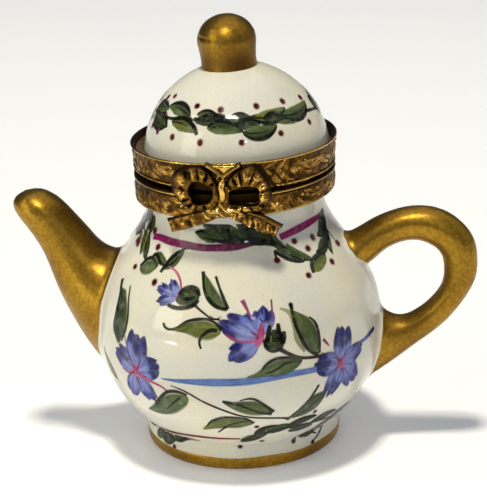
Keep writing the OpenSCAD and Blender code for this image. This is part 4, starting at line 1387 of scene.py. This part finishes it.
    for tip, foot, tone in (([20.3, 23.6], [19.8, 21.9], GREENS["mid"][1]),
                            ([18.7, 24.2], [17.3, 21.9], LEAF_LINE),
                            ([22.2, 24.3], [21.8, 21.9], LEAF_LINE),
                            ([24.3, 23.2], [23.2, 21.6], LEAF_LINE)):
        line([tip, [(tip[0] + foot[0]) / 2, (tip[1] + foot[1]) / 2], foot], [0.26, 0.46, 0.4], tone)
    ink([[15.9, 22.4], [16.6, 21.4], [19.0, 20.8], [22.0, 21.0], [23.8, 22.0]],
        [0.2, 0.34, 0.36, 0.34, 0.2])
    line([[18.8, 22.9], [18.6, 21.9]], [0.14, 0.2], GREENS["mid"][0], 0.75)
    line([[20.9, 22.6], [20.8, 21.6]], [0.14, 0.2], GREENS["mid"][1], 0.8)
    line([[21.4, 21.0], [26.8, 19.7], [31.9, 19.0], [39.6, 18.7]], [0.36, 0.28, 0.24, 0.28], STEM)
    dot([39.8, 18.8], 0.28, STEM, STEM)
    # Leaves on that stem
    line([[24.1, 26.1], [28.0, 25.3], [29.2, 23.4], [29.4, 21.7], [32.0, 19.9]],
         [0.14, 0.42, 0.5, 0.4, 0.2], GREENS["olive"][0], 0.65)
    wash([[29.4, 25.6], [29.4, 23.8], [32.3, 20.8], [37.8, 19.1]],
         [[29.8, 25.6], [36.4, 24.3], [38.8, 22.6], [38.3, 19.4]], "mid")
    ink([[29.2, 26.2], [29.0, 25.0], [29.6, 23.4], [32.3, 20.8], [35.0, 19.6], [38.0, 19.0]],
        [0.3, 0.24, 0.26, 0.32, 0.3, 0.24])
    ink([[36.0, 24.4], [38.3, 23.4], [38.9, 21.4], [38.4, 19.2]], [0.12, 0.26, 0.24, 0.22])
    dot([29.1, 26.3], 0.34, LEAF_LINE, LEAF_LINE)
    wash([[8.3, 17.3], [12.0, 17.8], [15.6, 18.7], [20.7, 19.5], [26.0, 19.4], [30.4, 18.6]],
         [[8.4, 17.1], [14, 17.1], [21.5, 16.9], [26.6, 17.3], [30.4, 18.3]], "mid")
    ink([[14.4, 18.2], [16.6, 19.0], [20.7, 19.6], [26, 19.4], [30.6, 18.6]],
        [0.12, 0.26, 0.24, 0.2, 0.24])
    ink([[15.6, 17.6], [19.6, 17.9], [23.6, 18.7], [27.0, 18.8]], [0.1, 0.16, 0.2, 0.12], 0.95)
    # Open flower on the right
    brush.flower([49.1, 16.6],
                 [(14, 4.9, 2.5, 0.5), (312, 5.2, 3.5, 0.3), (246, 5.1, 3.0, 0.6),
                  (168, 4.7, 3.5, 0.95), (80, 5.3, 3.5, 0.9)])
    line([[58.3, 18.4], [63.5, 18.3], [68.5, 18.5], [74.5, 18.8]], [0.2, 0.3, 0.42, 0.34], BLUE_MID,
         0.95, BLUE_DEEP)
    line([[40.7, 21.0], [42, 20.4], [43.2, 19.8]], [0.26, 0.2, 0.1], PINK_DEEP, 0.92)
    # Long stem below the stripe, and its leaves
    line([[-22, 15.3], [-15.9, 14.7], [-8.2, 13.2], [-0.5, 11.9], [5.5, 11.0], [11.6, 10.5],
          [22.2, 9.9], [26.6, 9.5]], [0.09, 0.16, 0.19, 0.2, 0.19, 0.19, 0.19, 0.26], STEM)
    ink([[26.4, 9.5], [29, 10.4], [32.8, 11.5], [35.6, 12.9], [38.2, 14.4]],
        [0.2, 0.2, 0.2, 0.24, 0.22])
    dot([26.2, 9.5], 0.3, LEAF_LINE, LEAF_LINE)
    wash([[-0.9, 13.4], [6.7, 13.6], [12.5, 13.5], [16.4, 12.4], [18.9, 11.3]],
         [[-0.9, 13.2], [3.6, 11.9], [9.5, 10.9], [15.2, 10.8], [18.9, 11.2]], "mid", lit=0.6)
    ink([[-1.2, 13.5], [4.0, 13.1], [9.0, 12.2], [14.2, 11.3], [18.6, 10.9]],
        [0.26, 0.22, 0.18, 0.2, 0.3])
    ink([[5.6, 13.6], [9.2, 13.9], [12.6, 13.5], [17.2, 12.0], [19.2, 11.2]],
        [0.1, 0.2, 0.2, 0.24, 0.34])
    wash([[-12.4, 7.9], [-7.5, 9.7], [-0.7, 10.7], [7.4, 10.3], [10.8, 9.4]],
         [[-12.0, 7.8], [-2.6, 8.4], [5.2, 8.5], [10.8, 9.2]], "olive")
    ink([[-9.4, 8.7], [-6.6, 9.9], [-0.7, 10.7], [7.4, 10.4], [11.2, 9.4]],
        [0.12, 0.26, 0.24, 0.2, 0.26])
    ink([[-5.0, 7.5], [-1.8, 8.5], [1.9, 9.4], [8.8, 10.0]], [0.14, 0.2, 0.2, 0.14], 0.95)
    wash([[27.2, 9.6], [30.4, 11.2], [35.4, 12.9], [42.4, 13.2]],
         [[27.4, 9.4], [34.2, 9.5], [39.7, 10.4], [42.6, 12.6]], "deep")
    ink([[28.2, 9.5], [34.2, 10.6], [38.8, 11.9], [42.8, 13.1]], [0.14, 0.2, 0.2, 0.1], 0.95)
    # Garlands over the foot
    for base, tip, width, tone in (([-55.5, 2.4], [-46.0, 3.6], 1.3, "deep"),
                                   ([-48.6, 2.4], [-37.2, 3.2], 1.7, "dark"),
                                   ([-38.6, 3.4], [-27.5, 4.2], 1.2, "deep"),
                                   ([-31.0, 4.2], [-19.0, 4.5], 0.8, "dark"),
                                   ([5.4, 5.0], [18.0, 6.7], 1.7, "deep"),
                                   ([12.2, 6.6], [22.0, 8.4], 1.4, "dark"),
                                   ([16.0, 7.0], [30.4, 7.8], 1.8, "deep"),
                                   ([26.2, 7.3], [41.4, 8.6], 1.5, "dark"),
                                   ([28.4, 6.6], [42.2, 6.6], 1.6, "deep"),
                                   ([39.6, 7.4], [55.0, 8.0], 1.4, "dark"),
                                   ([40.0, 3.9], [56.6, 4.2], 1.6, "deep"),
                                   ([48.0, 5.2], [64.0, 5.6], 1.6, "dark"),
                                   ([54.0, 6.8], [70.0, 7.4], 1.4, "deep")):
        leaf(base, tip, 1.2 * width, 0.1, tone, brush.rng.choice([-1, 1]), bold=1.2, vein=False)
    ink([[5.2, 5.1], [13.2, 6.6], [23.7, 7.5], [31.3, 7.4], [42.8, 7.2], [54, 6.8], [66, 6.7]],
        [0.26, 0.26, 0.3, 0.34, 0.28, 0.28, 0.2])
    ink([[-56, 2.6], [-48, 3.5], [-40, 3.4], [-28.5, 4.0], [-18.5, 4.5]], [0.1, 0.24, 0.26, 0.2, 0.1],
        0.95)
    ink([[36.2, 3.5], [40.4, 4.3], [46.3, 4.2], [54, 3.4]], [0.14, 0.22, 0.26, 0.1])
    ink([[50.0, 2.3], [56, 3.2], [64, 4.6]], [0.14, 0.2, 0.1])
    for place in ([12.5, 8.6], [4.2, 3.8], [16.3, 4.9], [36.4, 3.5], [50.4, 2.3], [39.2, 9.6],
                  [39.4, 8.7], [-38.6, 2.2]):
        dot(place, 0.36, RUST_BERRY, RUST_BERRY)


def paint_neck(brush):
    """Stripe and swags round the neck."""
    leaf, line, ink, dot, wash = brush.leaf, brush.line, brush.ink, brush.dot, brush.wash
    line([[-51.5, 33.6], [-44.5, 33.8], [-34.7, 33.7], [-25, 33.7], [-14, 33.6], [-4, 33.7],
          [5.5, 33.8], [16, 34.2], [26, 34.2]], [0.46, 0.56, 0.56, 0.52, 0.54, 0.5, 0.44], MAGENTA,
         0.96, MAGENTA_DARK, cells=8)
    line([[33.2, 34.4], [44.7, 34.8], [56.9, 35.1], [76, 35.4]], [0.46, 0.56, 0.48, 0.26], MAGENTA,
         0.96, cells=8)
    # Swag on the left
    for base, tip, width, tone, side, bend in (([-64.0, 36.9], [-62.5, 33.6], 1.5, "mid", 1, 0.1),
                                               ([-57.5, 36.3], [-57.5, 33.4], 1.1, "deep", -1, 0.1),
                                               ([-63.5, 33.8], [-55.5, 30.9], 1.6, "olive", -1, 0.1),
                                               ([-56.0, 33.4], [-48.6, 30.6], 1.4, "mid", 1, -0.08),
                                               ([-70.0, 33.2], [-62.0, 31.4], 1.0, "olive", -1, 0.1)):
        leaf(base, tip, width, bend, tone, side, bold=1.2, vein=width > 1.45)
    line([[-72.5, 34.6], [-68.5, 33.9], [-64.0, 33.4]], [0.16, 0.3, 0.14], VIOLET, 0.7)
    ink([[-62.0, 36.9], [-59.9, 35.0], [-56.2, 33.4], [-54.8, 32.2], [-50.4, 30.8]],
        [0.14, 0.24, 0.3, 0.26, 0.14])
    wash([[-50.6, 29.8], [-47.6, 30.8], [-42.6, 31.1], [-38.2, 30.5]],
         [[-50.4, 29.5], [-46.4, 28.9], [-41.6, 29.2], [-38.2, 30.2]], "mid", lit=0.6)
    ink([[-50.8, 29.8], [-47.6, 30.9], [-42.8, 31.2], [-38.2, 30.4]], [0.2, 0.32, 0.36, 0.26])
    wash([[-44.6, 31.9], [-40.3, 32.3], [-36.4, 31.9], [-33.6, 31.4]],
         [[-44.2, 31.4], [-40.6, 30.8], [-36.6, 30.6], [-33.6, 31.2]], "mid", lit=0.7)
    ink([[-45.0, 31.5], [-41.6, 31.7], [-37.6, 31.0], [-34.4, 30.8]], [0.26, 0.24, 0.3, 0.24])
    wash([[-34.0, 30.4], [-33.2, 31.2], [-30.2, 32.2], [-24.4, 33.0]],
         [[-33.8, 30.2], [-27.7, 30.7], [-25.0, 31.8], [-24.0, 32.9]], "mid")
    ink([[-34.8, 29.9], [-33.6, 30.8], [-30.8, 32.0], [-26.4, 32.9], [-22.0, 33.4]],
        [0.3, 0.3, 0.34, 0.24, 0.1])
    ink([[-33.4, 30.6], [-29.8, 31.2], [-26.8, 32.2]], [0.14, 0.2, 0.1], 0.95)
    # Dark leaves under the bow, running into the swag on the right
    for base, tip, width, tone, side in (([-6.0, 34.3], [-19.5, 35.4], 1.5, "mid", -1),
                                         ([0.0, 34.4], [-14.5, 36.5], 1.7, "deep", -1),
                                         ([6.5, 34.4], [-6.5, 37.2], 1.9, "dark", -1),
                                         ([12.0, 34.3], [2.0, 37.5], 1.8, "deep", 1),
                                         ([18.0, 34.2], [6.5, 36.9], 1.9, "dark", -1),
                                         ([24.0, 34.0], [14.0, 36.2], 1.7, "dark", 1),
                                         ([31.0, 33.4], [20.0, 35.5], 1.4, "deep", -1),
                                         ([35.5, 32.8], [28.0, 34.8], 1.2, "mid", 1)):
        leaf(base, tip, width, 0.08 * side, tone, side, bold=1.4, vein=width > 1.75)
    ink([[-13.5, 34.9], [-4, 34.5], [6, 34.5], [14, 34.4], [22.0, 34.1], [28, 33.7], [36.4, 32.7],
         [41.8, 31.6], [48.4, 30.7]], [0.1, 0.24, 0.42, 0.5, 0.5, 0.4, 0.32, 0.34, 0.26])
    leaf([49.0, 30.9], [36.0, 33.5], 1.3, 0.1, "mid", 1, vein=False)
    leaf([43.6, 30.9], [27.4, 32.9], 1.7, -0.06, "deep", 1, bold=1.3)
    ink([[43.4, 31.3], [36.4, 31.9], [31.0, 32.2], [28.2, 32.7], [28.0, 31.9]],
        [0.14, 0.28, 0.3, 0.24, 0.2])
    wash([[46.4, 29.5], [48.4, 30.6], [53.4, 31.0], [58.4, 30.8]],
         [[46.8, 29.3], [51.0, 29.2], [56.4, 29.8], [58.8, 30.6]], "olive", lit=0.6)
    ink([[45.8, 29.3], [46.8, 30.3], [50.4, 30.9], [54.6, 31.1], [59.0, 30.8]],
        [0.3, 0.36, 0.42, 0.36, 0.24])
    for base, tip, width, tone, side in (([78.0, 35.9], [62.0, 33.4], 1.9, "deep", 1),
                                         ([72.0, 34.2], [60.0, 33.2], 1.4, "dark", 1),
                                         ([72.0, 33.6], [64.6, 30.4], 1.5, "mid", -1),
                                         ([66.0, 32.8], [53.0, 31.2], 1.7, "deep", 1)):
        leaf(base, tip, width, 0.08 * side, tone, side, bold=1.2)
    ink([[53.4, 31.4], [61, 31.6], [69.4, 32.4], [73.4, 33.8], [80, 35.7]],
        [0.3, 0.26, 0.26, 0.2, 0.12])
    ink([[70.6, 34.0], [72.6, 33.0], [73.8, 31.7]], [0.12, 0.16, 0.1])
    for place in ([-64.5, 31.8], [-43.7, 32.6], [-54.4, 29.4], [-36.2, 28.6], [-52.2, 34.3],
                  [28.1, 31.7], [41.8, 33.5], [49.0, 32.2], [56.0, 33.2], [60.5, 29.7], [42.4, 29.2]):
        dot(place, 0.48)
    dot([74.4, 31.1], 0.6)


def paint_back(brush):
    """Sprays of the same kind round the sides and the back, which no view showed."""
    line, ink = brush.line, brush.ink
    for start, end in ((106, 164), (164, 222), (222, 296)):
        middle, reach = (start + end) / 2, (end - start) / 2

        def hang(degrees):
            return 35.6 - 4.2 * (1 - ((degrees - middle) / reach) ** 2)

        for k in range(8):
            a, up = start + (end - start) * (k + 0.2) / 8, 1 if k % 2 else -1
            tip = a + (end - start) / 6.4
            brush.leaf([a, hang(a)], [tip, hang(tip) + 0.7 * up], 1.7, 0.1 * up,
                       brush.rng.choice(["deep", "mid", "dark"]), up, bold=1.2, vein=False)
            brush.dot([a + 4, hang(a) - 2.1 * up])
        steps = np.linspace(start + 2, end - 2, 6)
        ink([[a, hang(a)] for a in steps], [0.12, 0.26, 0.3, 0.26, 0.12])
    line([[104, 35.2], [140, 34.6], [180, 34.4], [220, 34.4], [262, 34.1], [292, 33.8]],
         [0.36, 0.46, 0.42, 0.48, 0.44, 0.4], MAGENTA, 0.96, MAGENTA_DARK, 8)
    for centre, turn in (([150, 20.5], 10), ([206, 15.5], 40), ([243, 23.5], -20)):
        brush.flower(centre,
                     [(turn + 72 * k, brush.rng.uniform(4.7, 5.6), brush.rng.uniform(2.8, 3.7),
                       brush.rng.uniform(0.2, 1.0)) for k in range(5)])
    line([[155, 19.0], [170, 15.5], [186, 14.6], [200, 15.4]], [0.14, 0.18, 0.15, 0.1], STEM)
    line([[120, 12.5], [140, 12.2], [160, 14.0], [176, 15.0]], [0.08, 0.16, 0.16, 0.12], STEM)
    line([[208, 17.5], [222, 21.8], [236, 22.8]], [0.14, 0.18, 0.1], STEM)
    for base, tip, tone in (([122, 12.6], [112, 15.8], "mid"), ([134, 12.2], [124, 9.6], "olive"),
                            ([148, 12.8], [166, 10.6], "mid"), ([170, 15.5], [164, 20.6], "deep"),
                            ([186, 14.7], [178, 10.6], "olive"), ([188, 14.8], [197, 20.8], "mid"),
                            ([214, 20.0], [204, 24.0], "deep"), ([222, 21.8], [232, 17.6], "mid"),
                            ([160, 24.4], [176, 26.0], "olive"), ([236, 27.6], [222, 29.4], "mid"),
                            ([112, 24.0], [124, 28.0], "mid"), ([232, 11.5], [248, 13.5], "mid")):
        brush.leaf(base, tip, 2.5, 0.1, tone, brush.rng.choice([-1, 1]))
    line([[112, 16.4], [135, 16.0], [165, 16.2], [196, 17.6]], [0.2, 0.54, 0.54, 0.3], SKY, 0.9)
    for start in (100, 172, 232):
        for k in range(6):
            a, up = start + 9 * k, 1 if k % 2 else -1
            brush.leaf([a, 5.4 + 0.5 * math.sin(k)], [a + 13, 5.6 + 0.9 * up], 1.6, 0.1 * up,
                       "dark" if k % 2 else "deep", up, bold=1.3, vein=False)
            brush.dot([a + 5, 5.4 + 2.2 * up], 0.38, RUST_BERRY, RUST_BERRY)
        ink([[start, 5.3], [start + 27, 5.7], [start + 56, 5.4]], [0.14, 0.26, 0.14])


def paint_pot():
    """The red line over the foot, the neck, the front and the back."""
    brush = Brush(Skin(POT_LINE), 57)
    brush.line([[-75, 3.4], [-60, 3.9], [-36, 5.2], [-19, 5.8], [-4.3, 5.9], [4.7, 5.9]],
               [0.2, 0.36, 0.46, 0.42, 0.26], RED_LINE, 0.97)
    brush.line([[64, 6.9], [90, 6.7], [140, 6.4], [200, 6.2], [250, 6.2], [285, 5.4]], [0.18, 0.22],
               RED_LINE, 0.9)
    paint_neck(brush)
    paint_front(brush)
    paint_back(brush)
    brush.finish("pot_painting", "pot")


# ---- CAD pieces that stay shown ----

def finish_cad_pieces():
    """Brass for the hinge and clasp parts, cement for the rings that bed the bezels."""
    for name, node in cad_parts.items():
        if node.hide_render:
            continue
        node.data.materials.clear()
        ring = name.endswith("setting_ring")
        node.data.materials.append(CEMENT if ring else BRASS)


# ---- Stage, lights and camera ----

FLOOR_SIZE, FLOOR_CELLS = 3.0, 24


def make_floor():
    """A pale floor under the object, 3 metres square."""
    cells = FLOOR_CELLS
    at = np.linspace(-FLOOR_SIZE / 2, FLOOR_SIZE / 2, cells + 1)
    x, y = np.meshgrid(at, at)
    mesh = bpy.data.meshes.new("floor")
    mesh.from_pydata(np.stack([x, y, 0 * x], -1).reshape(-1, 3).tolist(), [],
                     grid_faces(cells + 1, cells + 1))
    look = Look("pale_floor", Roughness=0.55)
    look.set("Base Color", look.mix(FLOOR_PALE, FLOOR_SHADE, look.noise(0.02)))
    look.set("Emission Color", (1.0, 1.0, 1.0))
    look.set("Emission Strength", FLOOR_GLOW)
    mesh.materials.append(look.material)
    floor = bpy.data.objects.new("floor", mesh)
    bpy.context.scene.collection.objects.link(floor)


SKY_LOW, SKY_HIGH = (0.066, 0.074, 0.092), (0.165, 0.188, 0.235)
WARM, CREAM, BUTTER = (1.0, 0.95, 0.82), (1.0, 0.96, 0.88), (1.0, 0.99, 0.80)
WHITE, SOFT_WHITE, WINDOW_BLUE = (1, 1, 1), (1.0, 0.97, 0.9), (0.7, 0.8, 1.0)
LIT_POINT = (0, 0, 30)


def softbox(name, direction, distance, width, height, watts, colour):
    """A soft area light that looks at the middle of the object from a direction, its distance
    and size in metres."""
    target = Vector(LIT_POINT) * MM
    data = bpy.data.lights.new(name, "AREA")
    data.shape, data.size, data.size_y = "RECTANGLE", width, height
    data.energy, data.color = watts, colour
    lamp = bpy.data.objects.new(name, data)
    away = Vector(direction).normalized()
    lamp.location = target + away * distance
    lamp.rotation_mode = "QUATERNION"
    lamp.rotation_quaternion = away.to_track_quat("Z", "Y")
    lamp.visible_camera = False
    bpy.context.scene.collection.objects.link(lamp)
    return lamp


def make_light():
    """A soft sky, brightest overhead, a ceiling lamp that only lights, sheen and key lamps that
    only show as reflections, and a few small lamps on the left and in front."""
    world = bpy.data.worlds.new("studio")
    world.use_nodes = True
    tree = world.node_tree
    way = add_node(tree, "ShaderNodeSeparateXYZ")
    here = add_node(tree, "ShaderNodeTexCoord").outputs["Generated"]
    tree.links.new(here, way.inputs[0])
    rise = add_node(tree, "ShaderNodeMapRange", interpolation_type="SMOOTHSTEP")
    for key, value in (("From Min", 0.1), ("From Max", 0.95)):
        rise.inputs[key].default_value = value
    tree.links.new(way.outputs["Z"], rise.inputs["Value"])
    tone = add_node(tree, "ShaderNodeMix", data_type="RGBA")
    tone.inputs[6].default_value = (*SKY_LOW, 1)
    tone.inputs[7].default_value = (*SKY_HIGH, 1)
    tree.links.new(rise.outputs[0], tone.inputs["Factor"])
    back = tree.nodes["Background"]
    tree.links.new(tone.outputs[2], back.inputs["Color"])
    back.inputs["Strength"].default_value = 1.0
    bpy.context.scene.world = world
    ceiling = softbox("ceiling", (-0.02, -0.12, 1.0), distance=0.9, width=0.11, height=0.11,
                      watts=6.7, colour=WARM)
    ceiling.visible_glossy = False
    for name, way, wide, tall, watts in (("sheen", (0.1, 0.1, 1.0), 1.6, 1.6, 4.8),
                                         ("sheen_right", (0.95, 0.1, 0.5), 1.4, 0.8, 1.3),
                                         ("sheen_front", (0.0, -1.0, 0.55), 1.8, 0.9, 1.6)):
        softbox(name, way, 1.2, wide, tall, watts, CREAM).visible_diffuse = False
    for k, (x, z, wide, watts) in enumerate(((-0.11, 0.870, 0.032, 0.20),
                                             (-0.05, 0.855, 0.028, 0.30),
                                             (0.01, 0.862, 0.024, 0.25),
                                             (0.06, 0.850, 0.030, 0.20))):
        key = softbox(f"key_{k}", (x, -0.52, z), 0.5, wide, 0.024, watts, CREAM)
        key.visible_diffuse = False
    for name, way, distance, wide, tall, watts, colour in (
            ("front_left", (-0.78, -0.52, 0.36), 0.8, 0.30, 0.40, 1.15, BUTTER),
            ("lamp_left", (-0.68, -0.22, 0.70), 0.5, 0.030, 0.022, 0.09, SOFT_WHITE),
            ("lamp_low_left", (-0.74, -0.66, -0.04), 0.4, 0.08, 0.010, 0.06, WHITE),
            ("lamp_window", (0.27, -0.83, 0.48), 0.5, 0.028, 0.018, 0.05, WINDOW_BLUE)):
        softbox(name, way, distance, wide, tall, watts, colour)


CAMERA_PLACE, CAMERA_LENS, SENSOR_WIDTH = (31.48, -256.37, 118.90), 135.27, 36.0


def make_camera():
    """The photograph's viewpoint, lens and aim."""
    data = bpy.data.cameras.new("camera")
    data.lens, data.sensor_width = CAMERA_LENS, SENSOR_WIDTH
    data.clip_start, data.clip_end = 0.01, 20.0
    camera = bpy.data.objects.new("camera", data)
    right = Vector((0.99371, 0.10675, -0.03393))
    up = Vector((-0.00346, 0.33201, 0.94327))
    forward = Vector((-0.11196, 0.93722, -0.33029))
    turn = Matrix((right, up, -forward)).transposed().to_4x4()
    camera.matrix_world = Matrix.Translation(Vector(CAMERA_PLACE) * MM) @ turn
    bpy.context.scene.collection.objects.link(camera)
    bpy.context.scene.camera = camera


make_pot()
make_foot_gilding()
make_spout()
make_handle()
make_dome()
make_knob()
make_bezels()
make_bow()
paint_lid()
paint_pot()
finish_cad_pieces()
make_floor()
make_light()
make_camera()

bpy.context.scene.view_settings.view_transform = "Standard"
